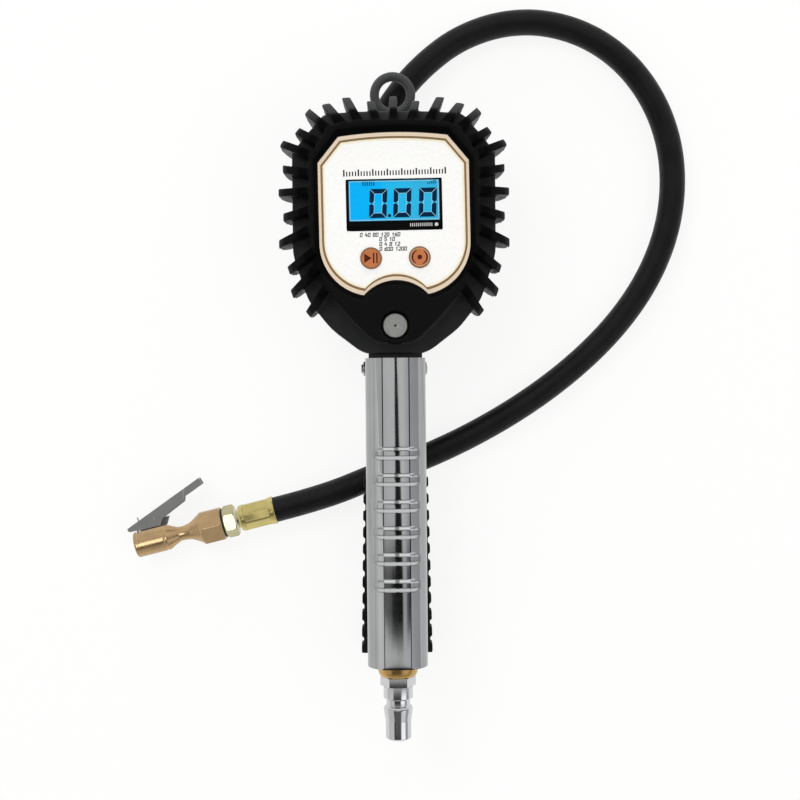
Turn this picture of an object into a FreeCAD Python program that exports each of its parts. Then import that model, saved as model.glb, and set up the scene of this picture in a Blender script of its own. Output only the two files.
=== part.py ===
import FreeCAD, Part
import math
import os

V = FreeCAD.Vector
X_AXIS = V(1, 0, 0)
Y_AXIS = V(0, 1, 0)
Z_AXIS = V(0, 0, 1)

# A tyre inflator with a digital gauge, in millimetres. It lies on its back: +Z comes out of the gauge
# face, +Y points to the gauge end, -Y to the air inlet and +X to the right. The origin is under the
# middle of the tool.

# General clearances
seat = 0.05        # between pieces that are fixed to each other
run_fit = 0.05     # radial clearance of shafts, pins and stems
gap = 0.3          # between pieces that move past each other

# Lengths along the tool, from the inlet to the hang loop
plug_nose = 24.5   # quick plug in front of its hexagon
plug_hex = 4.1
adaptor_ring = 4.7
handle_length = 139.7
neck_gap = 1.9
boot_length = 107.9
loop_rise = 12.4   # centre of the hang loop above the boot wall
loop_ring_r = 8.4  # middle of the loop's cord
loop_wire_r = 2.15

# Heights above the table
boot_back_z = 22.0
shoulder_z = 45.0
fin_front_z = 48.0
front_z = 55.0
handle_back_z = 21.5
handle_front_z = 46.5
deck_gap = 0.2     # between the valve head and the boot

# Handle
handle_half = 13.7
front_strip_half = 6.0
front_strip_crown = 0.45
handle_side_z = 35.0   # where the straight sides end
handle_edge_r = 1.5
slot_half = 9.0
slot_depth = 6.0
pivot_pocket = 8.5     # slot depth at the lever's ears
groove_count = 6
groove_pitch = 11.85
groove_height = 5.75
groove_half = 10.65
groove_depth = 0.9
groove_first = 42.6    # first groove below the handle's upper end

# Air way in the handle
inlet_z = 36.5
inlet_bore_r = 4.5
adaptor_r = 6.5
adaptor_depth = 12.0
adaptor_ring_r = 9.2
adaptor_dome = [(0, 7.4), (0.5, 8.0), (1.4, 8.65), (2.8, 9.05)]   # each as (from the hexagon, radius)
adaptor_bore = 9.0     # depth of the plug's thread in the adaptor
plug_thread = 8.0
plug_thread_r = 4.95
plug_hex_flats = 14.0
plug_bore_r = 2.75
plug_nose_r = 5.85
plug_nose_edge = 0.8
plug_collar = [(0.2, 6.0), (0.2, 6.7), (5.5, 6.7)]   # each as (in front of the hexagon, radius)
plug_groove = [(6.2, 5.4), (8.9, 5.4)]
plug_bulge = [(9.5, 6.3), (10.4, 6.6), (12.4, 6.45), (14.5, 6.1)]
filter_rim_r = 4.9
filter_cup_r = 3.4
filter_length = 7.0
filter_wall = 0.7
spigot_z = 36.0
spigot_r = 5.0
spigot_length = 13.5
passage_r = 2.4
outlet_z = 35.0
head_pin_r = 1.0
head_pin_drop = 4.2    # pin below the middle of the spigot

# Lever, drawn squeezed against the handle and then opened
lever_angle = 5.0
pivot_inset = 4.7      # pivot from the handle's upper end
pivot_z = 25.5
pivot_r = 2.0
lever_ear_r = 4.0
lever_half = 8.5
lever_sheet = 1.6
lever_web = 2.0
lever_web_z = 20.4
lever_flange_z = 27.0
lever_reach = 134.0
grip_start = 47.0      # from the pivot
grip_end = 136.0
grip_start_half = 15.1
grip_end_half = 16.9
grip_rib = 1.0
grip_rib_count = 11
grip_rib_pitch = 8.0
grip_rib_length = 4.4
grip_hose_z = 17.66    # underside of the ribs over the hose, with the lever squeezed
grip_hose_reach = 58.4
pin_head_r = 3.2
pin_head = 1.15
clip_ring_r = 3.3
clip_ring = 0.85

# Valve
valve_reach = 21.8     # valve stem from the pivot
chamber_r = 5.5
chamber_top_z = 44.5
seat_z = 38.0
stem_r = 2.0
gland_hex = 11.0
gland_head = 1.6
gland_bore = 3.5       # length of the guided bore above the slot
cage_r = 3.6
poppet_r = 4.6
poppet = 1.6
washer = 0.6
stem_gap = 0.2         # between the lever and the stem's tip

# Gauge boot: half outlines as (x, y from the chin), each from the chin round to the top
wall_shoulder = 18.3   # the wall's upper corners below its top
wall_arch = 1.1        # rise of the wall's top edge at its middle
collar_drop = 5.6      # the collar's top below the wall's top
collar_shoulder = 21.8
collar_arch = 2.6
wall_outline = [(14.0, 0.0), (28.5, 11.1), (38.5, 23.6), (45.3, 44.1), (45.3, boot_length - wall_shoulder),
                (31.0, boot_length - wall_arch), (15.0, boot_length)]
wall_rounds = [14.0, 30.0, 22.0, 26.0, 5.0, 7.0, 400.0]
collar_outline = [(9.0, 5.2), (20.5, 16.9), (29.5, 27.6), (37.2, 52.1), (37.2, boot_length - collar_shoulder),
                  (28.3, boot_length - collar_drop - collar_arch), (14.0, boot_length - collar_drop)]
collar_rounds = [10.0, 40.0, 26.0, 26.0, 7.0, 4.5, 130.0]
fin_centre = 71.5      # point that all fins aim at, from the chin
fin_angles = [14.0, 26.6, 37.4, 46.8, 57.3, 66.4, 78.0, 90.0, 102.5, 114.0, 126.2, 134.5, 144.5]
fin_thickness = 3.5
fin_long = 5.9
fin_short = 3.9
boot_wall = 4.3
boot_lip = 3.0
lip_gap = 0.35         # round the label
boot_rim = 2.6
lip_slope = 2.0        # width of the slope from the front down to the label
lip_slope_top = 1.0    # how much wider it is at the top

# Gauge face
face_turn = 0.8        # how far the face sits turned anticlockwise
face_centre = 65.0     # from the chin
label_half = 33.2
label_drop = 12.5      # below the wall's top
label_top_half = 24.0
label_chamfer_drop = 23.7
label_side_end = 49.7
label_tip_x = 14.2
label_tip = 25.8
label_notch = 32.2
label_arch = 1.6
label_thickness = 0.6
frame_w = 42.3
frame_h = 22.7
frame_centre = 65.3    # from the chin
frame_side = 1.15      # the frame's border at each side of the window
frame_bar = 4.3        # the frame's bar under the window
window_inset = 0.5     # window below the frame's upper edge
frame_flange = 1.4
frame_proud = 0.8
key_r = 4.575
key_x = 10.7
key_y = 42.0           # from the chin
key_proud = 1.4
key_travel = 0.5
key_flange = 0.9
key_clearance = 0.17

# Gauge case and what it holds
case_wall = 2.0
case_start = 24.1      # from the chin
case_step_z = 43.0
cover_back_z = 22.3
cover_thickness = 2.2
boss_x = 34.2
boss_y = (42.0, boot_length - 27.9)
post_r = 2.6
post_x = 23.5
post_y = 35.0
post_drop = 19.9       # upper board posts below the wall's top
screw_r = 1.1
screw_head_r = 2.2
screw_length = 9.0
screw_head = 1.4
board_thickness = 1.6
panel_w = 43.0
panel_h = 24.0
panel_t = 2.0
backlight_t = 2.6
switch_size = 6.0
switch_t = 3.4
cell_r = 5.1
cell_length = 44.0
cell_gap = 0.8
battery_drop = 31.9    # middle of the battery box below the wall's top
box_wall = 1.5
contact_t = 0.4
door_t = 1.7
door_ledge = 1.5

# Valve head
head_half = 22.0
head_round = 6.0
head_foot = 12.5       # half width at the chin, inside the boot's outline
head_corner = 9.0      # from the chin, where it has its full width
riser_half = 12.0
riser_top_z = 42.5
riser_end = 22.1       # from the chin
bleed_y = 12.2         # bleed button from the chin
boss_r = 7.5
boss_top_z = 48.0
bleed_bore_r = 5.0
bleed_chamber_r = 4.4
bleed_chamber = 9.0
drill_r = 2.2
stem_port_y = 36.1     # gauge stem from the chin
stem_port_r = 5.0
stem_port_depth = 9.2
cross_drill_y = 30.0
gallery_plug_r = 3.5
gallery_plug = 4.2
outlet_y = 45.5        # end of the head from the chin, where the outlet is screwed in
port_x = -12.9
port_z = 9.0

# Bleed button
bleed_r = 5.6
bleed_cap = 2.6
bleed_top_z = 52.4
bleed_stem_r = 1.5
bleed_poppet_r = 3.2
bleed_poppet = 1.4
bleed_washer = 0.6
bleed_travel = 1.5
bush_bottom_z = 38.0
bush_spring_r = 3.6
bush_floor = 5.0
bleed_hole_r = 6.3

# Hose and its outlet: the route's points follow the middle of the hose
hose_r = 6.0
hose_lead = 14.5       # first run, straight out of the outlet
hose_route = [
    (-10.1, 121.0, 8.2),
    (-4.4, 134.9, 7.2),
    (4.4, 147.9, 6.5),
    (16.1, 160.3, 6.1),
    (31.2, 171.5, 6.1),
    (50.7, 178.6, 6.1),
    (71.6, 179.5, 6.1),
    (93.0, 173.2, 6.1),
    (111.0, 160.5, 6.1),
    (124.4, 142.4, 6.1),
    (132.0, 121.3, 6.1),
    (133.5, 99.2, 6.1),
    (129.7, 77.2, 6.1),
    (120.7, 56.2, 6.1),
    (107.1, 36.7, 6.1),
    (89.5, 18.8, 6.1),
    (68.5, 2.4, 6.1),
    (44.7, -12.3, 6.1),
    (18.7, -25.0, 6.1),
    (-8.6, -35.0, 6.2),
    (-34.1, -45.2, 8.7),
    (-57.4, -50.9, 8.7),
]
run_share = 0.45
outlet_hex = 14.0
outlet_hex_length = 6.2
outlet_thread_r = 5.5
outlet_thread = 10.5
ferrule_r = 6.45
ferrule_length = 18.5
ferrule_floor = 1.6
barb_r = 3.4

# Chuck, measured along its axis from the end of the hose
chuck_ferrule = 17.2
chuck_ferrule_floor = 1.7
chuck_flare = 1.6
chuck_neck = 1.4
chuck_neck_r = 4.2
chuck_swivel_r = 3.7     # the stem in the nut's floor
nut_length = 5.7
nut_floor = 1.5
nut_flats = 13.3
nut_thread_r = 5.0
chuck_washer_t = 1.0
chuck_hex_length = 10.6
chuck_hex_flats = 14.8
waist_length = 16.4
waist_r = 3.35
mouth_length = 15.4
mouth_r = 6.1
mouth_bore_r = 4.1
mouth_bore = 8.1
seal_chamber_r = 3.6
seal_chamber = 6.1
chuck_air_r = 1.7
pin_base = 1.4
pin_reach = 5.8
chuck_pin_r = 0.9
mouth_seal_bore = 2.0

# Clip on the chuck: its outline is measured from its pin as (towards the mouth, away from the chuck's axis)
clip_pivot_back = 11.4     # pin from the mouth's end
clip_pivot_up = 10.1       # pin from the chuck's axis
clip_pin_r = 0.95
clip_half = 4.4
clip_sheet = 0.8
clip_tip = (12.9, -1.5)
clip_tail = (-25.3, 13.6)
clip_cheek_share = 0.79    # the cheeks' part of the clip's length, from the tip
clip_front = [(12.8, -2.7), (11.7, -3.2), (-2.4, -3.5)]     # lower edge of both cheeks, from the tip
clip_rear_upper = [(-5.1, 0.6), (-16.2, 6.0), (-17.2, 9.0)]   # the same edge behind the pin, +Z cheek
clip_rear_lower = [(-3.9, -0.9), (-15.5, 4.2), (-17.2, 9.0)]  # the -Z cheek
clip_tab_half = 3.1
clip_tab_side = 3.4
clip_jaw_half = 2.6
clip_jaw = (8.3, -5.5)     # lower rear corner of the jaw
clip_wire = (8.7, 2.6)     # upper end of the spring's wire
lug_half = 2.0
lug_r = 2.1
lug_rail = (7.4, -3.6)     # front upper corner of the lug's foot
slit_back = 1.6            # saw cut in the mouth, from its end
slit_width = 0.8
slit_depth = 5.0

# Places that follow from the lengths
total_length = (plug_nose + plug_hex + adaptor_ring + handle_length + neck_gap + boot_length
                + loop_rise + loop_ring_r + loop_wire_r)
y_plug = -total_length / 2
y_hex = y_plug + plug_nose
y_adaptor = y_hex + plug_hex
y_handle = y_adaptor + adaptor_ring
y_neck = y_handle + handle_length
y_chin = y_neck + neck_gap
y_top = y_chin + boot_length
y_loop = y_top + loop_rise
y_pivot = y_neck - pivot_inset
y_valve = y_pivot - valve_reach
y_bleed = y_chin + bleed_y
y_stem = y_chin + stem_port_y
y_riser = y_chin + riser_end
slot_z = handle_back_z + slot_depth
face_z = front_z - boot_lip
window_w = frame_w - 2 * frame_side
window_h = frame_h - frame_bar - window_inset
panel_back_z = face_z - case_wall
y_outlet = y_chin + outlet_y
hose_start = V(port_x, y_outlet + outlet_hex_length + ferrule_length, port_z)
hose_points = [tuple(hose_start), (port_x, hose_start.y + hose_lead, port_z)] + hose_route
cover_front_z = cover_back_z + cover_thickness


def box(x0, x1, y0, y1, z0, z1):
    return Part.makeBox(x1 - x0, y1 - y0, z1 - z0, V(x0, y0, z0))


def rod(start, axis, radius, length):
    return Part.makeCylinder(radius, length, start, axis)


def pipe(start, axis, outer, inner, length):
    return rod(start, axis, outer, length).cut(rod(start, axis, inner, length))


def hexagon(start, axis, flats, length, turn=0.0):
    """A hexagonal bar along axis, with a corner on the +Z side for a turn of 0."""
    radius = flats / math.sqrt(3)
    corners = []
    for i in range(7):
        angle = math.radians(60 * i + turn)
        corners.append(V(radius * math.cos(angle), radius * math.sin(angle), 0))
    bar = Part.Face(Part.makePolygon(corners)).extrude(V(0, 0, length))
    if abs(axis.z) < 0.5:
        bar.rotate(V(0, 0, 0), Y_AXIS, 90)
        bar.rotate(V(0, 0, 0), Z_AXIS, math.degrees(math.atan2(axis.y, axis.x)))
    bar.translate(start)
    return bar


def lathe(profile, start, axis):
    """Turns a closed profile of (distance along the axis, radius) points."""
    points = [V(r, 0, t) for t, r in profile]
    face = Part.Face(Part.makePolygon(points + [points[0]]))
    solid = face.revolve(V(0, 0, 0), Z_AXIS, 360)
    if abs(axis.z) < 0.5:
        solid.rotate(V(0, 0, 0), Y_AXIS, 90)
        solid.rotate(V(0, 0, 0), Z_AXIS, math.degrees(math.atan2(axis.y, axis.x)))
    solid.translate(start)
    return solid


def ring_seal(centre, axis, middle_r, section_r):
    return Part.makeTorus(middle_r, section_r, centre, axis)


def mirrored(half):
    """Closes a half outline into a whole one, anticlockwise from the lower right."""
    return half + [(-x, y) for x, y in reversed(half)]


def moved_out(points, distance):
    """Moves each side of a closed anticlockwise outline outward by one distance."""
    count = len(points)
    result = []
    for i in range(count):
        before, here, after = points[i - 1], points[i], points[(i + 1) % count]
        n0 = side_normal(before, here)
        n1 = side_normal(here, after)
        scale = distance / (1 + n0[0] * n1[0] + n0[1] * n1[1])
        result.append((here[0] + scale * (n0[0] + n1[0]), here[1] + scale * (n0[1] + n1[1])))
    return result


def side_normal(a, b):
    length = math.hypot(b[0] - a[0], b[1] - a[1])
    return ((b[1] - a[1]) / length, -(b[0] - a[0]) / length)


def rounded_wire(points, rounds, z):
    """A closed wire through the outline with each corner rounded by a tangent arc."""
    count = len(points)
    corners = []
    for i in range(count):
        here = V(points[i][0], points[i][1], z)
        back = V(points[i - 1][0], points[i - 1][1], z) - here
        ahead = V(points[(i + 1) % count][0], points[(i + 1) % count][1], z) - here
        half_angle = back.getAngle(ahead) / 2
        reach = min(rounds[i] / math.tan(half_angle), 0.48 * back.Length, 0.48 * ahead.Length)
        radius = reach * math.tan(half_angle)
        back.normalize()
        ahead.normalize()
        inward = back + ahead
        inward.normalize()
        middle = here + inward * (radius / math.sin(half_angle) - radius)
        corners.append((here + back * reach, middle, here + ahead * reach))
    edges = []
    for i in range(count):
        start, middle, end = corners[i]
        edges.append(Part.Arc(start, middle, end).toShape())
        edges.append(Part.LineSegment(end, corners[(i + 1) % count][0]).toShape())
    return Part.Wire(edges)


def boot_wire(half, rounds, distance, z):
    """An outline of the boot, moved out by a distance, as a wire at one height."""
    points = [(x, y + y_chin) for x, y in mirrored(half)]
    radii = mirrored_values(rounds)
    return rounded_wire(moved_out(points, distance), [max(r + distance, 1.0) for r in radii], z)


def mirrored_values(values):
    return list(values) + list(reversed(values))


def slab(wire, height):
    return Part.Face(wire).extrude(V(0, 0, height))


def joined(shapes):
    result = shapes[0]
    for shape in shapes[1:]:
        result = result.fuse(shape)
    return result.removeSplitter()


def group(shapes):
    return Part.makeCompound(shapes)


def coil(centre, z0, z1, middle_r, wire_r, turns):
    """A compression spring along Z, swept along short arcs of the helix."""
    bottom = z0 + wire_r
    rise = z1 - z0 - 2 * wire_r
    steps = int(round(turns * 4))

    def place(k):
        angle = k * math.pi / 2
        return V(centre.x + middle_r * math.cos(angle), centre.y + middle_r * math.sin(angle),
                 bottom + rise * k / steps)

    edges = [Part.Arc(place(k), place(k + 0.5), place(k + 1)).toShape() for k in range(steps)]
    path = Part.Wire(edges)
    section = Part.Wire(Part.Circle(place(0), edges[0].tangentAt(edges[0].FirstParameter), wire_r).toShape())
    return path.makePipeShell([section], True, False)


def turned_face(shape):
    """Turns a piece of the gauge face about the middle of the face."""
    shape.rotate(V(0, y_chin + face_centre, 0), Z_AXIS, face_turn)
    return shape


# Handle and lever


def handle_wire(inset, y):
    """The handle's cross-section at one place, drawn in by an inset."""
    half = handle_half - inset
    back = handle_back_z + inset
    front = handle_front_z - inset
    edge = max(handle_edge_r - inset, 0.3)
    strip = front_strip_half - inset / 2
    strip_z = front - front_strip_crown
    drop = strip_z - handle_side_z
    across = half - strip
    radius = (drop * drop + across * across) / (2 * across)
    angle = math.asin(drop / radius) / 2
    side_middle = (half - radius + radius * math.cos(angle), handle_side_z + radius * math.sin(angle))
    corner = edge * (1 - math.sqrt(0.5))

    def at(x, z):
        return V(x, y, z)

    edges = [
        Part.LineSegment(at(-half + edge, back), at(half - edge, back)),
        Part.Arc(at(half - edge, back), at(half - corner, back + corner), at(half, back + edge)),
        Part.LineSegment(at(half, back + edge), at(half, handle_side_z)),
        Part.Arc(at(half, handle_side_z), at(*side_middle), at(strip, strip_z)),
        Part.Arc(at(strip, strip_z), at(0, front), at(-strip, strip_z)),
        Part.Arc(at(-strip, strip_z), at(-side_middle[0], side_middle[1]), at(-half, handle_side_z)),
        Part.LineSegment(at(-half, handle_side_z), at(-half, back + edge)),
        Part.Arc(at(-half, back + edge), at(-half + corner, back + corner), at(-half + edge, back)),
    ]
    return Part.Wire([edge_curve.toShape() for edge_curve in edges])


def groove_stamp(middle_y):
    """A tall bar with round ends that marks where one finger groove goes."""
    end_r = groove_height / 2
    middle = box(-groove_half + end_r, groove_half - end_r, middle_y - end_r, middle_y + end_r,
                 handle_side_z, handle_front_z + 1)
    ends = [rod(V(side * (groove_half - end_r), middle_y, handle_side_z), Z_AXIS, end_r,
                handle_front_z + 1 - handle_side_z) for side in (-1, 1)]
    return joined([middle] + ends)


def make_handle():
    bar = Part.Face(handle_wire(0, y_handle)).extrude(V(0, handle_length, 0))
    core = Part.Face(handle_wire(groove_depth, y_handle)).extrude(V(0, handle_length, 0))
    skin = bar.cut(core)
    for i in range(groove_count):
        stamp = groove_stamp(y_neck - groove_first - i * groove_pitch)
        bar = bar.cut(skin.common(stamp))
    below = handle_back_z - 1
    cuts = [
        box(-slot_half, slot_half, y_handle - 1, y_neck + 1, below, slot_z),
        box(-slot_half, slot_half, y_pivot - lever_ear_r - gap, y_neck + 1, below,
            handle_back_z + pivot_pocket),
        rod(V(0, y_handle - 1, inlet_z), Y_AXIS, inlet_bore_r, y_valve - y_handle + 1),
        rod(V(0, y_handle - 1, inlet_z), Y_AXIS, adaptor_r, adaptor_depth + 1),
        rod(V(0, y_valve, below), Z_AXIS, chamber_r, chamber_top_z - below),
        rod(V(0, y_valve, outlet_z), Y_AXIS, passage_r, y_neck - y_valve),
        rod(V(0, y_neck - spigot_length - seat, spigot_z), Y_AXIS, spigot_r + seat, spigot_length + 1),
        rod(V(-handle_half - 1, y_pivot, pivot_z), X_AXIS, pivot_r + 0.02, 2 * handle_half + 2),
        rod(V(-handle_half - 1, head_pin_y, head_pin_z), X_AXIS, head_pin_r + 0.02, 2 * handle_half + 2),
    ]
    for cut in cuts:
        bar = bar.cut(cut)
    return bar


head_pin_y = y_neck - spigot_length / 2
head_seal_y = y_neck - spigot_length + 2.5
head_pin_z = spigot_z - head_pin_drop


def make_head_pin():
    """A pin that runs across the handle and through the rim of the valve head's spigot."""
    reach = handle_half - 0.6
    return rod(V(-reach, head_pin_y, head_pin_z), X_AXIS, head_pin_r, 2 * reach)


def opened(shape):
    """Swings a piece of the lever from the squeezed position to the resting one."""
    shape.rotate(V(0, y_pivot, pivot_z), X_AXIS, lever_angle)
    return shape


def make_lever():
    web_top = lever_web_z + lever_web
    channel = box(-lever_half, lever_half, y_pivot - lever_reach, y_pivot - lever_ear_r, lever_web_z, web_top)
    parts = [channel]
    for side in (-1, 1):
        inner = lever_half - lever_sheet
        x0 = min(side * lever_half, side * inner)
        x1 = max(side * lever_half, side * inner)
        parts.append(box(x0, x1, y_pivot - lever_reach + 4, y_pivot, lever_web_z, lever_flange_z))
        parts.append(rod(V(x0, y_pivot, pivot_z), X_AXIS, lever_ear_r, lever_sheet))
    lever = joined(parts)
    for side in (-1, 1):
        start = V(side * lever_half - lever_sheet, y_pivot, pivot_z)
        hole = rod(start, X_AXIS, pivot_r + run_fit, 2 * lever_sheet)
        lever = lever.cut(hole)
    return opened(lever)


def grip_bottom(reach):
    """Underside of the grip's ribs at a distance from the pivot, with the lever squeezed."""
    turn = math.radians(lever_angle)
    end_z = pivot_z - (pivot_z - grip_end * math.sin(turn)) / math.cos(turn)
    slope = (end_z - grip_hose_z) / (grip_end - grip_hose_reach)
    return grip_hose_z + slope * (reach - grip_hose_reach)


def grip_half(reach):
    share = (reach - grip_start) / (grip_end - grip_start)
    return grip_start_half + share * (grip_end_half - grip_start_half)


def grip_slice(r0, r1, rib, top):
    """A stretch of the grip between two distances from the pivot, grown by a rib height."""
    sections = []
    for reach in (r0, r1):
        half = grip_half(reach) + rib - grip_rib
        bottom = grip_bottom(reach) + grip_rib - rib
        bevel = min(2.2, 0.45 * (top - bottom))
        y = y_pivot - reach
        points = [
            V(-half, y, top), V(-half, y, bottom + bevel), V(-half + bevel, y, bottom),
            V(half - bevel, y, bottom), V(half, y, bottom + bevel), V(half, y, top), V(-half, y, top),
        ]
        sections.append(Part.makePolygon(points))
    return Part.makeLoft(sections, True, True)


def make_lever_grip():
    top = handle_back_z - gap
    grip = grip_slice(grip_start, grip_end, 0.0, top)
    ribs = []
    for i in range(grip_rib_count):
        r1 = grip_end - i * grip_rib_pitch
        r0 = r1 - grip_rib_length
        ribs.append(grip_slice(r0, r1, grip_rib, top))
    grip = joined([grip] + ribs)
    slot = box(-lever_half - seat, lever_half + seat, y_pivot - lever_reach - seat, y_pivot,
               lever_web_z - seat, top + 1)
    return opened(grip.cut(slot))


def make_lever_pin():
    shaft_end = -handle_half - clip_ring - 1.0
    shaft = rod(V(shaft_end, y_pivot, pivot_z), X_AXIS, pivot_r, handle_half - shaft_end + seat)
    dome = [(0, 0), (0, pin_head_r), (0.35 * pin_head, pin_head_r), (0.8 * pin_head, 0.7 * pin_head_r),
            (pin_head, 0.25 * pin_head_r), (pin_head, 0)]
    head = lathe(dome, V(handle_half + seat, y_pivot, pivot_z), X_AXIS)
    return joined([shaft, head])


def make_lever_clip():
    start = V(-handle_half - seat - clip_ring, y_pivot, pivot_z)
    ring = pipe(start, X_AXIS, clip_ring_r, pivot_r + 0.02, clip_ring)
    mouth = box(start.x - 1, start.x + clip_ring + 1, y_pivot - 1.3, y_pivot + 1.3,
                pivot_z - clip_ring_r - 1, pivot_z)
    return ring.cut(mouth)


# Valve in the handle


def make_valve_cartridge():
    outer_r = chamber_r - seat
    body = rod(V(0, y_valve, slot_z), Z_AXIS, outer_r, seat_z - slot_z)
    head = hexagon(V(0, y_valve, slot_z - gland_head), Z_AXIS, gland_hex, gland_head)
    guide_top = slot_z + gland_bore
    cartridge = joined([body, head])
    cartridge = cartridge.cut(rod(V(0, y_valve, slot_z - gland_head), Z_AXIS, stem_r + run_fit, 20))
    cartridge = cartridge.cut(rod(V(0, y_valve, guide_top), Z_AXIS, cage_r, seat_z - guide_top))
    cartridge = cartridge.cut(rod(V(0, y_valve, outlet_z), Y_AXIS, passage_r - 0.3, outer_r + 1))
    return cartridge.cut(rod(V(0, y_valve, seal_z - 0.7), Z_AXIS, stem_r + 1.35, 1.4))


seal_z = slot_z + gland_bore / 2


def make_stem_seal():
    return ring_seal(V(0, y_valve, seal_z), Z_AXIS, stem_r + run_fit + 0.62, 0.6)


def lever_top_at_valve():
    """Height of the open lever's web over the table, under the valve stem."""
    turn = math.radians(lever_angle)
    return pivot_z - (pivot_z - lever_web_z - lever_web) / math.cos(turn) - valve_reach * math.tan(turn)


def make_valve_stem():
    tip_z = lever_top_at_valve() + stem_gap
    disc_z = seat_z + washer
    rise = disc_z - tip_z
    profile = [
        (0, 0), (0, 0.55 * stem_r), (0.3 * stem_r, stem_r), (rise, stem_r), (rise, poppet_r),
        (rise + poppet, poppet_r), (rise + poppet, 0),
    ]
    return lathe(profile, V(0, y_valve, tip_z), Z_AXIS)


def make_valve_washer():
    return pipe(V(0, y_valve, seat_z), Z_AXIS, poppet_r, stem_r + 0.02, washer)


def make_valve_spring():
    return coil(V(0, y_valve, 0), seat_z + washer + poppet, chamber_top_z, poppet_r - 1.0, 0.35, 2)


# Inlet


def make_inlet_adaptor():
    end = adaptor_ring + adaptor_depth - seat
    thread_r = plug_thread_r + seat
    washer_r = washer_outer_r + seat
    profile = [(inlet_washer_t, thread_r), (inlet_washer_t, washer_r), (0, washer_r)] + adaptor_dome
    profile += [
        (adaptor_ring, adaptor_ring_r), (adaptor_ring, adaptor_r - seat), (end, adaptor_r - seat),
        (end, filter_cup_r + 0.1), (adaptor_bore + seat, filter_cup_r + 0.1), (adaptor_bore + seat, thread_r),
    ]
    return lathe(profile, V(0, y_adaptor, inlet_z), Y_AXIS)


washer_outer_r = 6.95
inlet_washer_t = 1.0


def make_inlet_washer():
    return pipe(V(0, y_adaptor, inlet_z), Y_AXIS, washer_outer_r, plug_thread_r + 0.1, inlet_washer_t)


def make_inlet_filter():
    """A cup whose rim sits between the plug's end and the floor of the adaptor's thread."""
    tip = adaptor_bore - 1.0 + filter_length
    wall = filter_wall
    profile = [
        (plug_thread, 0), (plug_thread, filter_rim_r), (adaptor_bore, filter_rim_r),
        (adaptor_bore, filter_cup_r), (tip, filter_cup_r - 0.8), (tip, filter_cup_r - 0.8 - 0.6),
        (adaptor_bore + 0.6, filter_cup_r - wall),
        (adaptor_bore + 0.6, 0),
    ]
    return lathe(profile, V(0, y_adaptor, inlet_z), Y_AXIS)


def make_inlet_plug():
    end = plug_nose + plug_hex + plug_thread
    profile = [
        (0, plug_bore_r + 0.5), (0.5, plug_bore_r), (end, plug_bore_r), (end, plug_thread_r),
        (plug_nose - 0.2, plug_thread_r),
    ]
    profile += [(plug_nose - ahead, radius) for ahead, radius in plug_collar + plug_groove + plug_bulge]
    profile += [(plug_nose - 16.0, plug_nose_r), (plug_nose_edge, plug_nose_r)]
    profile.append((0, plug_nose_r - plug_nose_edge))
    turned = lathe(profile, V(0, y_plug, inlet_z), Y_AXIS)
    hexed = hexagon(V(0, y_hex, inlet_z), Y_AXIS, plug_hex_flats, plug_hex, 30)
    hexed = hexed.cut(rod(V(0, y_hex - 1, inlet_z), Y_AXIS, plug_bore_r + 0.5, plug_hex + 2))
    return joined([turned, hexed])


# Valve head


def make_valve_head():
    deck_top = boot_back_z - deck_gap
    right = [(head_foot, y_chin + 1.0), (head_half, y_chin + head_corner), (head_half, y_outlet)]
    deck = slab(rounded_wire(mirrored(right), mirrored_values([2.0, head_round, head_round]), 0), deck_top)
    riser = box(-riser_half, riser_half, y_neck + seat, y_riser, 0, riser_top_z)
    boss = rod(V(0, y_bleed, riser_top_z - 1), Z_AXIS, boss_r - seat, boss_top_z - riser_top_z + 1)
    spigot = rod(V(0, y_neck - spigot_length, spigot_z), Y_AXIS, spigot_r, spigot_length + 2)
    groove = pipe(V(0, head_seal_y - 0.7, spigot_z), Y_AXIS, spigot_r + 1, spigot_r + seat - 1.25, 1.4)
    head = joined([deck, riser, boss, spigot]).cut(groove)
    cuts = [
        rod(V(0, y_neck - spigot_length - 1, spigot_z), Y_AXIS, passage_r,
            y_bleed - y_neck + spigot_length + 1),
        rod(V(-riser_half, head_pin_y, head_pin_z), X_AXIS, head_pin_r + 0.02, 2 * riser_half),
        rod(V(0, y_bleed, bush_bottom_z), Z_AXIS, bleed_bore_r, boss_top_z),
        rod(V(0, y_bleed, bush_bottom_z - bleed_chamber), Z_AXIS, bleed_chamber_r, bleed_chamber),
        rod(V(0, y_bleed, port_z), Z_AXIS, drill_r, bush_bottom_z - port_z),
        rod(V(0, y_bleed, port_z), Y_AXIS, drill_r, y_outlet - y_bleed + 1),
        rod(V(0, y_outlet - gallery_plug, port_z), Y_AXIS, gallery_plug_r, gallery_plug + 1),
        rod(V(0, y_stem, deck_top - stem_port_depth), Z_AXIS, stem_port_r, stem_port_depth + 1),
        rod(V(0, y_stem, port_z), Z_AXIS, drill_r, deck_top - port_z),
        rod(V(0, y_stem, deck_top - 1.7), Z_AXIS, stem_port_r + 1.7, 3),
        rod(V(port_x, y_outlet - outlet_thread - 0.5, port_z), Y_AXIS, outlet_thread_r, outlet_thread + 2),
        rod(V(port_x, y_chin + cross_drill_y, port_z), Y_AXIS, drill_r, y_outlet - y_chin - cross_drill_y),
        rod(V(-head_half - 1, y_chin + cross_drill_y, port_z), X_AXIS, drill_r, head_half + 1),
        rod(V(-head_half - 1, y_chin + cross_drill_y, port_z), X_AXIS, gallery_plug_r, gallery_plug + 1),
    ]
    for cut in cuts:
        head = head.cut(cut)
    return head


def make_head_seal():
    """The ring in the spigot's groove, which closes the joint between the handle and the valve head."""
    return ring_seal(V(0, head_seal_y, spigot_z), Y_AXIS, spigot_r + seat - 0.6, 0.6)


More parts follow.
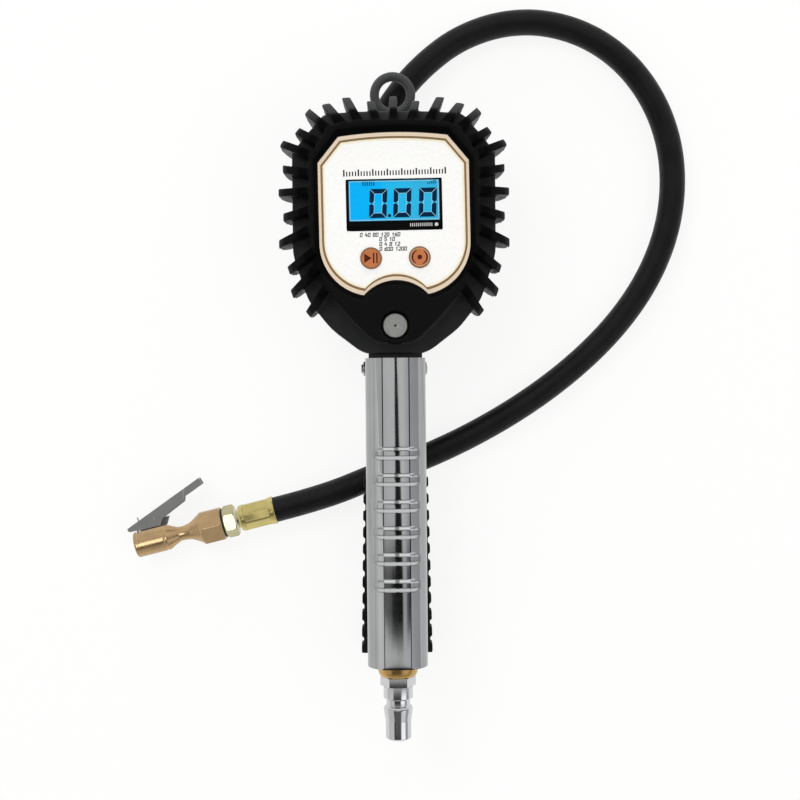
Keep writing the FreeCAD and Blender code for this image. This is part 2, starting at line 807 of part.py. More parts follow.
def make_gallery_plugs():
    length = gallery_plug - 0.2
    plugs = []
    for start, axis in ((V(0, y_outlet - gallery_plug, port_z), Y_AXIS),
                        (V(-head_half + gallery_plug, y_chin + cross_drill_y, port_z), V(-1, 0, 0))):
        plug = rod(start, axis, gallery_plug_r - seat, length)
        plugs.append(plug.cut(hexagon(start + axis * (length - 2.2), axis, 3.0, 3.0)))
    return group(plugs)


def make_outlet_fitting():
    end = outlet_hex_length
    profile = [
        (-outlet_thread, drill_r), (-outlet_thread, outlet_thread_r - seat), (1.0, outlet_thread_r - seat),
        (1.0, 5.0), (end + ferrule_floor, 5.0), (end + ferrule_floor, barb_r),
        (end + ferrule_length - 4.0, barb_r), (end + ferrule_length - 2.0, barb_r - 0.8),
        (end + ferrule_length - 2.0, drill_r),
    ]
    turned = lathe(profile, V(port_x, y_outlet, port_z), Y_AXIS)
    hexed = hexagon(V(port_x, y_outlet, port_z), Y_AXIS, outlet_hex, end, 30)
    hexed = hexed.cut(rod(V(port_x, y_outlet - 1, port_z), Y_AXIS, 4.0, end + 2))
    return joined([turned, hexed])


def ferrule_profile(length, floor, neck_r, flare):
    """A crimped sleeve that opens at 0 and closes at its length."""
    inner = hose_r + seat
    return [
        (0, inner), (0, ferrule_r), (flare, ferrule_r), (flare + 0.6, ferrule_r - 0.2),
        (length - 2.0, ferrule_r - 0.2), (length, ferrule_r - 1.2), (length, neck_r),
        (length - floor, neck_r), (length - floor, inner),
    ]


def make_outlet_ferrule():
    profile = ferrule_profile(ferrule_length, ferrule_floor, 5.0 + seat, 1.6)
    return lathe(profile, hose_start, V(0, -1, 0))


def make_hose_ends():
    """The two ends of the hose inside its crimped sleeves."""
    first = pipe(V(port_x, y_outlet + outlet_hex_length + ferrule_floor + seat, port_z), Y_AXIS,
                 hose_r, barb_r + seat, ferrule_length - ferrule_floor - seat)
    second = pipe(V(0, 0, 0), X_AXIS, hose_r, 3.0 + seat, chuck_ferrule - chuck_ferrule_floor - seat)
    return group([first, on_chuck(second)])


# Hose


def hose_runs():
    """The hose's straight runs and tangent arcs, with the radius of each arc."""
    points = [V(*p) for p in hose_points]
    edges = []
    radii = []
    start = points[0]
    for before, here, after in zip(points, points[1:], points[2:]):
        back = before - here
        ahead = after - here
        shorter = min(back.Length, ahead.Length)
        half_turn = (math.pi - back.getAngle(ahead)) / 2
        reach = run_share * shorter
        radius = reach / math.tan(half_turn)
        back.normalize()
        ahead.normalize()
        inward = back + ahead
        inward.normalize()
        middle = here + inward * (radius / math.cos(half_turn) - radius)
        first = here + back * reach
        last = here + ahead * reach
        edges.append(Part.LineSegment(start, first).toShape())
        edges.append(Part.Arc(first, middle, last).toShape())
        radii.append(radius)
        start = last
    edges.append(Part.LineSegment(start, points[-1]).toShape())
    return edges, radii


def make_hose():
    edges, radii = hose_runs()
    path = Part.Wire(edges)
    heading = V(*hose_points[1]) - V(*hose_points[0])
    section = Part.Wire(Part.Circle(V(*hose_points[0]), heading, hose_r).toShape())
    hose = path.makePipeShell([section], True, False)
    print("hose radii", [round(r, 1) for r in radii])
    print("hose length", round(path.Length, 2), "volume", round(hose.Volume, 1),
          "section times length", round(math.pi * hose_r ** 2 * path.Length, 1))
    return hose


# Chuck, built along +X from the end of the hose and then laid in place

chuck_hex_start = chuck_ferrule + chuck_neck + nut_length + chuck_washer_t
waist_start = chuck_hex_start + chuck_hex_length
mouth_start = waist_start + waist_length
mouth_end = mouth_start + mouth_length
clip_pivot = V(mouth_end - clip_pivot_back, -clip_pivot_up, 0)
seal_start = mouth_end - mouth_bore - seal_chamber


def on_chuck(shape):
    """Lays a piece that was built along +X onto the chuck's place at the end of the hose."""
    end = V(*hose_points[-1])
    heading = end - V(*hose_points[-2])
    shape.rotate(V(0, 0, 0), Z_AXIS, math.degrees(math.atan2(heading.y, heading.x)))
    shape.translate(end)
    return shape


def make_chuck_ferrule():
    profile = ferrule_profile(chuck_ferrule, chuck_ferrule_floor, 3.0 + seat, chuck_flare)
    return on_chuck(lathe(profile, V(0, 0, 0), X_AXIS))


def make_chuck_stem():
    neck_end = chuck_ferrule + chuck_neck + nut_floor + seat
    nut_start = chuck_ferrule + chuck_neck
    profile = [
        (1.0, chuck_air_r), (1.0, 2.4), (3.0, 3.0), (chuck_ferrule + seat, 3.0),
        (chuck_ferrule + seat, chuck_neck_r), (nut_start - seat, chuck_neck_r),
        (nut_start - seat, chuck_swivel_r), (neck_end, chuck_swivel_r), (neck_end, nut_thread_r - 0.1),
        (neck_end + 1.2, nut_thread_r - 0.1), (neck_end + 1.2, chuck_air_r),
    ]
    return on_chuck(lathe(profile, V(0, 0, 0), X_AXIS))


def chamfered_hexagon(start, flats, length, turn, cut_start, cut_end):
    """A hexagonal piece of the chuck with its corners turned off at both ends."""
    corner_r = flats / math.sqrt(3)
    outline = [(0, 0), (0, corner_r - cut_start), (cut_start * 0.8, corner_r),
               (length - cut_end * 0.8, corner_r), (length, corner_r - cut_end), (length, 0)]
    trim = lathe(outline, V(start, 0, 0), X_AXIS)
    return hexagon(V(start, 0, 0), X_AXIS, flats, length, turn).common(trim)


def make_swivel_nut():
    start = chuck_ferrule + chuck_neck
    nut = chamfered_hexagon(start, nut_flats, nut_length, 30, 1.0, 1.0)
    nut = nut.cut(rod(V(start - 1, 0, 0), X_AXIS, chuck_swivel_r + seat, nut_length + 2))
    return on_chuck(nut.cut(rod(V(start + nut_floor, 0, 0), X_AXIS, nut_thread_r, nut_length)))


def make_chuck_washer():
    start = V(chuck_hex_start - chuck_washer_t, 0, 0)
    return on_chuck(pipe(start, X_AXIS, nut_flats / 2 + 0.2, nut_thread_r, chuck_washer_t))


def make_chuck_body():
    thread_start = chuck_ferrule + chuck_neck + nut_floor + seat + 1.2 + seat
    flats_r = chuck_hex_flats / 2
    waist_steps = [(0.0, flats_r - 0.3), (0.15, 5.5), (0.25, 4.5), (0.34, 3.85), (0.5, waist_r),
                   (0.64, waist_r), (0.73, 3.95), (0.82, 4.65), (0.92, 5.5), (0.99, mouth_r)]
    profile = [
        (thread_start, 0), (thread_start, nut_thread_r - seat), (chuck_hex_start, nut_thread_r - seat),
        (chuck_hex_start, flats_r - 0.3),
    ]
    profile += [(waist_start + share * waist_length, radius) for share, radius in waist_steps]
    profile += [
        (mouth_start + 0.4, mouth_r), (mouth_start + 0.7, mouth_r - 0.3), (mouth_start + 1.1, mouth_r - 0.3),
        (mouth_start + 1.4, mouth_r), (mouth_end - 0.5, mouth_r), (mouth_end, mouth_r - 0.5), (mouth_end, 0),
    ]
    hexed = chamfered_hexagon(chuck_hex_start, chuck_hex_flats, chuck_hex_length, 0, 0.7, 1.4)
    body = joined([lathe(profile, V(0, 0, 0), X_AXIS), hexed])
    jaw_start = clip_pivot.x + clip_jaw[0] - gap
    cuts = [
        rod(V(thread_start - 1, 0, 0), X_AXIS, chuck_air_r, mouth_end),
        rod(V(mouth_end - mouth_bore, 0, 0), X_AXIS, mouth_bore_r, mouth_bore + 1),
        rod(V(seal_start, 0, 0), X_AXIS, seal_chamber_r, mouth_end - seal_start),
        box(jaw_start, mouth_end - 0.9, -mouth_r - 1, -mouth_bore_r + 0.6,
            -clip_jaw_half - gap, clip_jaw_half + gap),
        box(mouth_end - slit_back - slit_width, mouth_end - slit_back, -mouth_r - 1, -mouth_r + slit_depth,
            -mouth_r - 1, mouth_r + 1),
    ]
    for cut in cuts:
        body = body.cut(cut)
    return on_chuck(body)


def make_chuck_pin():
    base = rod(V(seal_start, 0, 0), X_AXIS, seal_chamber_r - seat, pin_base)
    vent_r = 0.6
    middle = (chuck_pin_r + seal_chamber_r) / 2 - 0.2
    for i in range(3):
        angle = math.radians(120 * i + 90)
        vent = V(seal_start - 1, middle * math.cos(angle), middle * math.sin(angle))
        base = base.cut(rod(vent, X_AXIS, vent_r, pin_base + 2))
    return on_chuck(joined([base, rod(V(seal_start, 0, 0), X_AXIS, chuck_pin_r, pin_reach)]))


def make_chuck_seal():
    start = V(seal_start + pin_base + seat, 0, 0)
    length = seal_chamber - pin_base - 2 * seat
    return on_chuck(pipe(start, X_AXIS, seal_chamber_r - seat, mouth_seal_bore, length))


def clip_plate(points, z0, z1):
    """A flat plate of the clip, parallel to its cheeks, from points measured from its pin."""
    corners = [V(clip_pivot.x + t, clip_pivot.y - n, z0) for t, n in points]
    return Part.Face(Part.makePolygon(corners + [corners[0]])).extrude(V(0, 0, z1 - z0))


def roof_point(share, depth):
    """A place at a share of the clip's length from its tip, at a depth below its outer face."""
    length = math.hypot(clip_tip[0] - clip_tail[0], clip_tip[1] - clip_tail[1])
    t = clip_tip[0] + share * (clip_tail[0] - clip_tip[0]) - depth * (clip_tail[1] - clip_tip[1]) / length
    n = clip_tip[1] + share * (clip_tail[1] - clip_tip[1]) - depth * (clip_tip[0] - clip_tail[0]) / length
    return (t, n)


def make_clip_post():
    rail_t, rail_n = lug_rail
    outline = [(lug_r, 0), (-7.0, -0.6), (-4.4, -5.4), (rail_t, -5.4), (rail_t, rail_n), (lug_r, rail_n)]
    lug = clip_plate(outline, -lug_half, lug_half)
    eye = rod(V(clip_pivot.x, clip_pivot.y, -lug_half), Z_AXIS, lug_r, 2 * lug_half)
    post = joined([lug, eye])
    post = post.cut(rod(V(0, 0, 0), X_AXIS, mouth_r, mouth_end))
    hole = rod(V(clip_pivot.x, clip_pivot.y, -lug_half - 1), Z_AXIS, clip_pin_r + 0.02, 10)
    return on_chuck(post.cut(hole))


def make_clip_pin():
    reach = clip_half + 0.4
    return on_chuck(rod(V(clip_pivot.x, clip_pivot.y, -reach), Z_AXIS, clip_pin_r, 2 * reach))


def make_clip_lever():
    inner = clip_half - clip_sheet
    share = clip_cheek_share
    roof = [roof_point(0, 0), roof_point(share, 0), roof_point(share, clip_sheet), roof_point(0, clip_sheet)]
    tab_start = share - 0.02
    tab = [roof_point(tab_start, 0), roof_point(1, 0), roof_point(1, clip_sheet),
           roof_point(tab_start, clip_sheet)]
    tab_side = [roof_point(tab_start, 0.4), roof_point(1, 0.4), roof_point(0.995, clip_tab_side),
                roof_point(tab_start, clip_tab_side)]
    parts = [clip_plate(roof, -clip_half, clip_half), clip_plate(tab, -clip_tab_half, clip_tab_half)]
    for side, rear in ((-1, clip_rear_lower), (1, clip_rear_upper)):
        cheek = [roof_point(0.01, 0.4)] + clip_front + rear + [roof_point(share, 0.4)]
        parts.append(clip_plate(cheek, *sorted((side * inner, side * clip_half))))
        tab_inner = clip_tab_half - clip_sheet
        parts.append(clip_plate(tab_side, *sorted((side * tab_inner, side * clip_tab_half))))
    jaw_t, jaw_n = clip_jaw
    jaw = [(jaw_t, 0.0), (jaw_t, jaw_n), (jaw_t + clip_sheet, jaw_n), (jaw_t + clip_sheet, -0.3)]
    parts.append(clip_plate(jaw, -clip_jaw_half, clip_jaw_half))
    lever = joined(parts)
    lever = lever.cut(rod(V(clip_pivot.x, clip_pivot.y, -clip_half - 1), Z_AXIS, clip_pin_r + run_fit, 20))
    return on_chuck(lever.cut(rod(wire_start(), V(0, -1, 0), 0.55, 6)))


def wire_start():
    return V(clip_pivot.x + clip_wire[0] - 1.6, clip_pivot.y + 0.9, lug_half + 0.8)


def make_clip_spring():
    """A small torsion spring round the pin; its long leg ends in a stub that stands out through the roof."""
    wire_r = 0.3
    middle = clip_pin_r + wire_r + 0.3
    turns = coil(clip_pivot, lug_half + 0.15, clip_half - clip_sheet - 0.1, middle, wire_r, 1.5)
    corner = wire_start()
    start = V(clip_pivot.x + middle + wire_r + 0.02, clip_pivot.y, corner.z)
    end = corner - V(0, clip_wire[1] + 0.9, 0)
    along = corner - start
    along.normalize()
    bend = 0.8
    first = corner - along * bend
    last = corner - V(0, bend, 0)
    inward = V(0, -1, 0) - along
    inward.normalize()
    half_angle = (corner - start).getAngle(corner - end) / 2
    radius = bend * math.tan(half_angle)
    middle_point = corner + inward * (radius / math.sin(half_angle) - radius)
    path = Part.Wire([
        Part.LineSegment(start, first).toShape(),
        Part.Arc(first, middle_point, last).toShape(),
        Part.LineSegment(last, end).toShape(),
    ])
    section = Part.Wire(Part.Circle(start, along, wire_r).toShape())
    leg = path.makePipeShell([section], True, False)
    return on_chuck(group([turns, leg]))


# Gauge boot and case


def fin_plate(angle, length):
    """A flat plate that stands out from the fins' aiming point at an angle from +Y."""
    plate = box(-fin_thickness / 2, fin_thickness / 2, 15, length, boot_back_z, front_z)
    plate.rotate(V(0, 0, 0), Z_AXIS, -angle)
    plate.translate(V(0, y_chin + fin_centre, 0))
    return plate


def fin_envelope(reach):
    """The body that limits the fins: it slopes back from the collar and curves in to the wall's back edge."""
    heights = [(boot_back_z + 1.0, 0.05 * reach), (boot_back_z + 6.0, 0.6 * reach),
               (boot_back_z + 14.0, 0.92 * reach), (fin_front_z, reach)]
    wires = [boot_wire(wall_outline, wall_rounds, out, z) for z, out in heights]
    wires.append(boot_wire(collar_outline, collar_rounds, 0, front_z))
    body = Part.makeLoft(wires[:2], True, True)
    for low, high in zip(wires[1:], wires[2:]):
        body = body.fuse(Part.makeLoft([low, high], True, True))
    return body


def make_fins():
    longs = [fin_plate(0, 100)]
    shorts = []
    for i, angle in enumerate(fin_angles):
        bucket = longs if i % 2 else shorts
        bucket.append(fin_plate(angle, 100))
        bucket.append(fin_plate(-angle, 100))
    fins = []
    for reach, plates in ((fin_long, longs), (fin_short, shorts)):
        envelope = fin_envelope(reach)
        fins.extend(envelope.common(plate) for plate in plates)
    return fins


def case_space(lower, upper, z0, z1):
    """The stepped room of the gauge case: a wide lower part and a narrower front part."""
    step = case_step_z
    low = slab(boot_wire(wall_outline, wall_rounds, -boot_wall - lower, z0), step - lower - z0)
    front = boot_wire(collar_outline, collar_rounds, -boot_rim - upper, step - lower - 1)
    high = slab(front, z1 - step + lower + 1)
    cut_y = y_chin + case_start + lower
    keep = box(-100, 100, cut_y, y_top, z0 - 1, z1 + 1)
    return low.fuse(high).common(keep)


def label_wire(grow, z, rise=0.0):
    """The label's outline, hollow at its foot between two tips, grown all round and raised at the top."""
    top = y_top - label_drop + grow + rise
    corner = label_top_half + 0.4 * grow
    side = label_half + grow
    chamfer = y_top - label_chamfer_drop + 0.3 * (grow + rise)
    side_end = y_chin + label_side_end
    tip = V(label_tip_x + 0.3 * grow, y_chin + label_tip - grow, z)
    notch = V(0, y_chin + label_notch - grow, z)
    middle = V(0.79 * side + 0.21 * tip.x + 0.4, side_end - 0.56 * (side_end - tip.y), z)

    def flip(p):
        return V(-p.x, p.y, p.z)

    a = V(side, side_end, z)
    b = V(side, chamfer, z)
    c = V(corner, top, z)
    edges = [
        Part.Arc(tip, middle, a),
        Part.LineSegment(a, b),
        Part.LineSegment(b, c),
        Part.Arc(c, V(0, top + label_arch, z), flip(c)),
        Part.LineSegment(flip(c), flip(b)),
        Part.LineSegment(flip(b), flip(a)),
        Part.Arc(flip(a), flip(middle), flip(tip)),
        Part.Arc(flip(tip), notch, tip),
    ]
    return Part.Wire([e.toShape() for e in edges])


def make_rubber_boot():
    wall = slab(boot_wire(wall_outline, wall_rounds, 0, boot_back_z), shoulder_z - boot_back_z)
    collar = slab(boot_wire(collar_outline, collar_rounds, 0, shoulder_z - 1), front_z - shoulder_z + 1)
    boot = wall.fuse([collar] + make_fins())
    boot = boot.cut(case_space(0, 0, boot_back_z - 1, face_z))
    boot = boot.cut(turned_face(slab(label_wire(lip_gap, face_z - 1), 10)))
    slope_foot = label_wire(lip_gap, face_z + label_thickness)
    slope_edge = label_wire(lip_gap + lip_slope, front_z, lip_slope_top)
    boot = boot.cut(turned_face(Part.makeLoft([slope_foot, slope_edge], True, True)))
    boot = boot.cut(box(-riser_half - seat, riser_half + seat, y_neck - 5, y_riser + seat,
                        0, riser_top_z + seat))
    boot = boot.cut(rod(V(0, y_bleed, riser_top_z - 1), Z_AXIS, boss_r, boss_top_z + seat - riser_top_z + 1))
    boot = boot.cut(rod(V(0, y_bleed, boss_top_z - 1), Z_AXIS, bleed_hole_r, 20))
    return boot.removeSplitter()


def make_hang_loop():
    z = boot_back_z - 0.1 - loop_wire_r
    loop = ring_seal(V(0, y_loop, z), Z_AXIS, loop_ring_r, loop_wire_r)
    tab_half = 5.0
    start = loop_screw_y - 3.0
    tab = box(-tab_half, tab_half, start, y_loop - loop_ring_r, z - 1.4, boot_back_z - 0.1)
    pad = box(-tab_half, tab_half, start, y_top - boot_wall - 1.2, z, cover_back_z)
    loop = joined([loop, tab, pad])
    return loop.cut(rod(V(0, loop_screw_y, 0), Z_AXIS, screw_r + 0.3, 40))


loop_screw_y = y_top - 12.0


def make_loop_screw():
    under = boot_back_z - 0.1 - loop_wire_r - 1.4
    return screw(V(0, loop_screw_y, under), Z_AXIS, 12.0)


def screw(seat_point, axis, length):
    """A cross-head screw whose head sits on the seat point; its shank runs along the axis."""
    shank = rod(seat_point, axis, screw_r, length)
    head = rod(seat_point - axis * screw_head, axis, screw_head_r, screw_head)
    arm = 0.35
    slot = box(-screw_head_r * 0.6, screw_head_r * 0.6, -arm, arm, 0, 0.8)
    cross = slot.fuse(box(-arm, arm, -screw_head_r * 0.6, screw_head_r * 0.6, 0, 0.8))
    if axis.z < 0:
        cross.translate(seat_point - axis * screw_head - V(0, 0, 0.8))
    else:
        cross.translate(seat_point - axis * screw_head)
    return shank.fuse(head).cut(cross)


def cover_screw_places():
    return [(side * boss_x, y_chin + y) for side in (-1, 1) for y in boss_y]


def board_post_places():
    upper_x = frame_w / 2 + frame_flange + post_r + gap
    right = ((post_x, y_chin + post_y), (upper_x, y_top - post_drop))
    return [(side * x, y) for side in (-1, 1) for x, y in right]


board_back_z = case_step_z - 0.6


def make_gauge_case():
    shell = case_space(seat, seat, cover_front_z, face_z - seat)
    room = case_space(case_wall, case_wall, cover_front_z - 1, panel_back_z)
    shell = shell.cut(room)
    shelf = case_step_z - case_wall
    board_front = board_back_z + board_thickness
    studs = [rod(V(x, y, cover_front_z), Z_AXIS, 3.0, shelf - cover_front_z + 0.5)
             for x, y in cover_screw_places()]
    studs += [rod(V(x, y, board_front), Z_AXIS, post_r, panel_back_z - board_front + 0.5)
              for x, y in board_post_places()]
    shell = shell.fuse(studs)
    for x, y in cover_screw_places():
        shell = shell.cut(rod(V(x, y, cover_front_z - 1), Z_AXIS, screw_r + seat, screw_length + 0.3))
    for x, y in board_post_places():
        shell = shell.cut(rod(V(x, y, board_front - 1), Z_AXIS, screw_r + seat, screw_length - 2))
    front = turned_face(frame_plate(0.1, panel_back_z - 1, face_z + 1))
    shell = shell.cut(front)
    for side in (-1, 1):
        hole = turned_face(rod(key_centre(side, panel_back_z - 1), Z_AXIS, key_r + key_clearance, 5))
        shell = shell.cut(hole)
    return shell.removeSplitter()


def key_centre(side, z):
    return V(side * key_x, y_chin + key_y, z)


def frame_plate(grow, z0, z1):
    """A block the size of the display frame, grown all round."""
    y = y_chin + frame_centre
    half_w = frame_w / 2 + grow
    half_h = frame_h / 2 + grow
    return box(-half_w, half_w, y - half_h, y + half_h, z0, z1)


def window_plate(grow, z0, z1):
    """A block the size of the display window, grown all round."""
    top = y_chin + frame_centre + frame_h / 2 - window_inset
    return box(-window_w / 2 - grow, window_w / 2 + grow, top - window_h - grow, top + grow, z0, z1)


def make_face_label():
    label = slab(label_wire(0, face_z), label_thickness)
    label = label.cut(frame_plate(0.1, face_z - 1, face_z + 2))
    for side in (-1, 1):
        label = label.cut(rod(key_centre(side, face_z - 1), Z_AXIS, key_r + key_clearance, 3))
    return turned_face(label)


frame_back_z = panel_back_z - 1.2


def make_lcd_frame():
    frame = frame_plate(0, frame_back_z, face_z + frame_proud)
    flange = frame_plate(frame_flange, frame_back_z, panel_back_z - seat)
    frame = joined([frame, flange])
    frame = frame.cut(window_plate(0, face_z - 0.9, face_z + 5))
    return turned_face(frame.cut(window_plate(-0.5, frame_back_z - 1, face_z + 5)))


def make_lcd_window():
    return turned_face(window_plate(-0.1, face_z - 0.9, face_z + 0.3))


def centred_plate(width, height, z0, z1):
    y = y_chin + frame_centre
    return turned_face(box(-width / 2, width / 2, y - height / 2, y + height / 2, z0, z1))


def make_lcd_panel():
    top = frame_back_z - seat
    return centred_plate(panel_w, panel_h, top - panel_t, top)


def make_backlight():
    top = frame_back_z - 2 * seat - panel_t
    return centred_plate(panel_w, panel_h, top - backlight_t, top)


def make_circuit_board():
    wire = boot_wire(collar_outline, collar_rounds, -boot_rim - case_wall - 0.6, board_back_z)
    keep = box(-100, 100, y_chin + case_start + case_wall + 0.6, y_top, 0, 100)
    board = slab(wire, board_thickness).common(keep)
    for x, y in board_post_places():
        board = board.cut(rod(V(x, y, board_back_z - 1), Z_AXIS, screw_r + 0.2, 4))
    return board


def make_tact_switches():
    base_z = board_back_z + board_thickness
    switches = []
    for side in (-1, 1):
        centre = key_centre(side, base_z)
        body = box(centre.x - switch_size / 2, centre.x + switch_size / 2, centre.y - switch_size / 2,
                   centre.y + switch_size / 2, base_z, base_z + switch_t)
        plunger = rod(centre, Z_AXIS, 1.7, key_back_z - key_travel - 0.2 - base_z)
        switches.append(turned_face(joined([body, plunger])))
    return group(switches)


key_back_z = panel_back_z - gap - key_flange


def make_key(side):
    cap = rod(key_centre(side, key_back_z), Z_AXIS, key_r, face_z + key_proud - key_back_z)
    cap = cap.makeChamfer(0.35, [cap.Edges[0]])
    flange = rod(key_centre(side, key_back_z), Z_AXIS, key_r + 1.0, key_flange)
    return turned_face(joined([cap, flange]))


def make_pressure_sensor():
    can = rod(V(0, y_stem, sensor_z), Z_AXIS, 6.0, 1.4)
    return joined([can, rod(V(0, y_stem, sensor_z), Z_AXIS, 4.8, 5.5)])


sensor_z = cover_front_z + 5.5


def make_sensor_lead():
    top = sensor_z + 5.5
    foot = box(-3.0, 3.0, y_stem, y_stem + 2.6, top, top + 0.4)
    rise = box(-3.0, 3.0, y_stem + 2.2, y_stem + 2.6, top, board_back_z)
    return joined([foot, rise])


def make_gauge_stem():
    deck_top = boot_back_z - deck_gap
    thread = rod(V(0, y_stem, deck_top - stem_port_depth + seat), Z_AXIS, stem_port_r - seat,
                 cover_front_z - deck_top + stem_port_depth)
    nut = hexagon(V(0, y_stem, cover_front_z), Z_AXIS, 14.0, 3.6)
    nose = rod(V(0, y_stem, cover_front_z), Z_AXIS, 5.0, sensor_z - cover_front_z)
    stem = joined([thread, nut, nose])
    return stem.cut(rod(V(0, y_stem, 0), Z_AXIS, 1.5, 100))


def make_gauge_stem_seal():
    deck_top = boot_back_z - deck_gap
    return ring_seal(V(0, y_stem, deck_top - 0.85), Z_AXIS, stem_port_r + 0.83, 0.8)


# Battery box in the rear cover

battery_middle = y_top - battery_drop
bay_half_x = cell_length / 2 + 1.6
bay_half_y = 2 * cell_r + cell_gap
bay_top_z = cover_front_z + 2 * cell_r + 1.0
door_screw_y = battery_middle + bay_half_y + 3.4


def make_rear_cover():
    wire = boot_wire(wall_outline, wall_rounds, -boot_wall - seat, cover_back_z)
    keep = box(-100, 100, y_chin + case_start + seat, y_top, 0, 100)
    cover = slab(wire, cover_thickness - seat).common(keep)
    tray = box(-bay_half_x - box_wall, bay_half_x + box_wall, battery_middle - bay_half_y - box_wall,
               battery_middle + bay_half_y + box_wall, cover_back_z, bay_top_z + box_wall)
    screw_boss = rod(V(0, door_screw_y, cover_back_z), Z_AXIS, 2.8, 9.0)
    loop_boss = rod(V(0, loop_screw_y, cover_back_z), Z_AXIS, 3.2, 10.0)
    cover = joined([cover, tray, screw_boss, loop_boss])
    door_front = cover_back_z + door_t
    cuts = [
        box(-bay_half_x, bay_half_x, battery_middle - bay_half_y, battery_middle + bay_half_y,
            door_front, bay_top_z),
        door_plate(0.1, door_front + 0.05),
        rod(V(0, door_screw_y, cover_back_z - 1), Z_AXIS, screw_r + seat, 9.5),
        rod(V(0, loop_screw_y, cover_back_z - 1), Z_AXIS, screw_r + seat, 10.0),
        rod(V(0, y_stem, cover_back_z - 1), Z_AXIS, stem_port_r + 0.2, 5),
    ]
    for x, y in cover_screw_places():
        cuts.append(rod(V(x, y, cover_back_z - 1), Z_AXIS, screw_r + 0.2, 5))
        cuts.append(rod(V(x, y, cover_back_z - 1), Z_AXIS, screw_head_r + 0.2, 1 + cover_seat))
    for cut in cuts:
        cover = cover.cut(cut)
    return cover


cover_seat = 1.3   # depth of the screws' seats in the rear cover


def door_plate(grow, z1):
    """The battery door with its screw tab, grown all round."""
    reach_x = bay_half_x + door_ledge + grow
    reach_y = bay_half_y + grow
    z0 = cover_back_z - 0.001 * grow
    plate = box(-reach_x, reach_x, battery_middle - reach_y, battery_middle + reach_y, z0, z1)
    tab = box(-3.6 - grow, 3.6 + grow, battery_middle, door_screw_y + 3.0 + grow, z0, z1)
    return joined([plate, tab])


def make_battery_door():
    door = door_plate(0, cover_back_z + door_t)
    door = door.cut(rod(V(0, door_screw_y, 0), Z_AXIS, screw_r + 0.2, 60))
    door = door.cut(rod(V(0, door_screw_y, cover_back_z - 1), Z_AXIS, screw_head_r + 0.2, 1 + 0.7))
    for i in range(5):
        y = battery_middle - 7.0 - 1.2 * i
        door = door.cut(box(-8, 8, y - 0.3, y + 0.3, cover_back_z - 1, cover_back_z + 0.35))
    return door


def make_door_screw():
    return screw(V(0, door_screw_y, cover_back_z + 0.7), Z_AXIS, 6.0)


def make_case_screws():
    cover = [screw(V(x, y, cover_back_z + cover_seat), Z_AXIS, screw_length) for x, y in cover_screw_places()]
    board = [screw(V(x, y, board_back_z), Z_AXIS, 6.0) for x, y in board_post_places()]
    return group(cover + board)


def make_batteries():
    z = cover_back_z + door_t + 0.6 + cell_r
    cells = []
    for side in (-1, 1):
        y = battery_middle + side * (cell_r + cell_gap / 4)
        body = rod(V(-cell_length / 2, y, z), X_AXIS, cell_r, cell_length - 1.0)
        button = rod(V(cell_length / 2 - 1.0, y, z), X_AXIS, 1.9, 1.0)
        cell = joined([body, button])
        if side < 0:
            cell.rotate(V(0, y, z), Z_AXIS, 180)
        cells.append(cell)
    return group(cells)


def make_battery_contacts():
    z0 = cover_back_z + door_t + 1.0
    contacts = []
    for side in (-1, 1):
        outer = side * bay_half_x
        inner = outer - side * contact_t
        plate = box(min(outer, inner), max(outer, inner), battery_middle - bay_half_y + 1.0,
                    battery_middle + bay_half_y - 1.0, z0, z0 + 2 * cell_r - 1.0)
        contacts.append(plate)
        for row in (-1, 1):
            y = battery_middle + row * (cell_r + cell_gap / 4)
            start = V(inner, y, z0 + cell_r - 0.4)
            contacts.append(rod(start, V(-side, 0, 0), 2.2, bay_half_x - contact_t - cell_length / 2))
    plates = [joined(contacts[i:i + 3]) for i in (0, 3)]
    return group(plates)


# Bleed button in the chin


def make_bleed_bush():
    """The threaded bush that guides the bleed button and holds its spring."""
    outer = rod(V(0, y_bleed, bush_bottom_z), Z_AXIS, bleed_bore_r - seat, boss_top_z - bush_bottom_z)
    outer = outer.cut(rod(V(0, y_bleed, bush_bottom_z + bush_floor), Z_AXIS, bush_spring_r, 30))
    for i in range(3):
        angle = math.radians(120 * i)
        flute = V(bleed_stem_r * math.cos(angle), y_bleed + bleed_stem_r * math.sin(angle), 0)
        outer = outer.cut(rod(flute, Z_AXIS, 0.6, 100))
    return outer.cut(rod(V(0, y_bleed, 0), Z_AXIS, bleed_stem_r + run_fit, 100))


def make_bleed_button():
    poppet_top = bush_bottom_z - bleed_washer
    poppet_bottom = poppet_top - bleed_poppet
    cap_bottom = bleed_top_z - bleed_cap
    profile = [
        (poppet_bottom, 0), (poppet_bottom, bleed_poppet_r), (poppet_top, bleed_poppet_r),
        (poppet_top, bleed_stem_r), (cap_bottom, bleed_stem_r), (cap_bottom, bleed_r),
        (bleed_top_z - 0.4, bleed_r),
        (bleed_top_z, bleed_r - 0.4), (bleed_top_z, 0.45), (bleed_top_z - 0.5, 0.0),
    ]
    return lathe(profile, V(0, y_bleed, 0), Z_AXIS)


def make_bleed_washer():
    start = V(0, y_bleed, bush_bottom_z - bleed_washer)
    return pipe(start, Z_AXIS, bleed_poppet_r, bleed_stem_r + 0.02, bleed_washer)


def make_bleed_spring():
    floor_z = bush_bottom_z + bush_floor
    return coil(V(0, y_bleed, 0), floor_z, bleed_top_z - bleed_cap, bush_spring_r - 0.75, 0.4, 3.5)


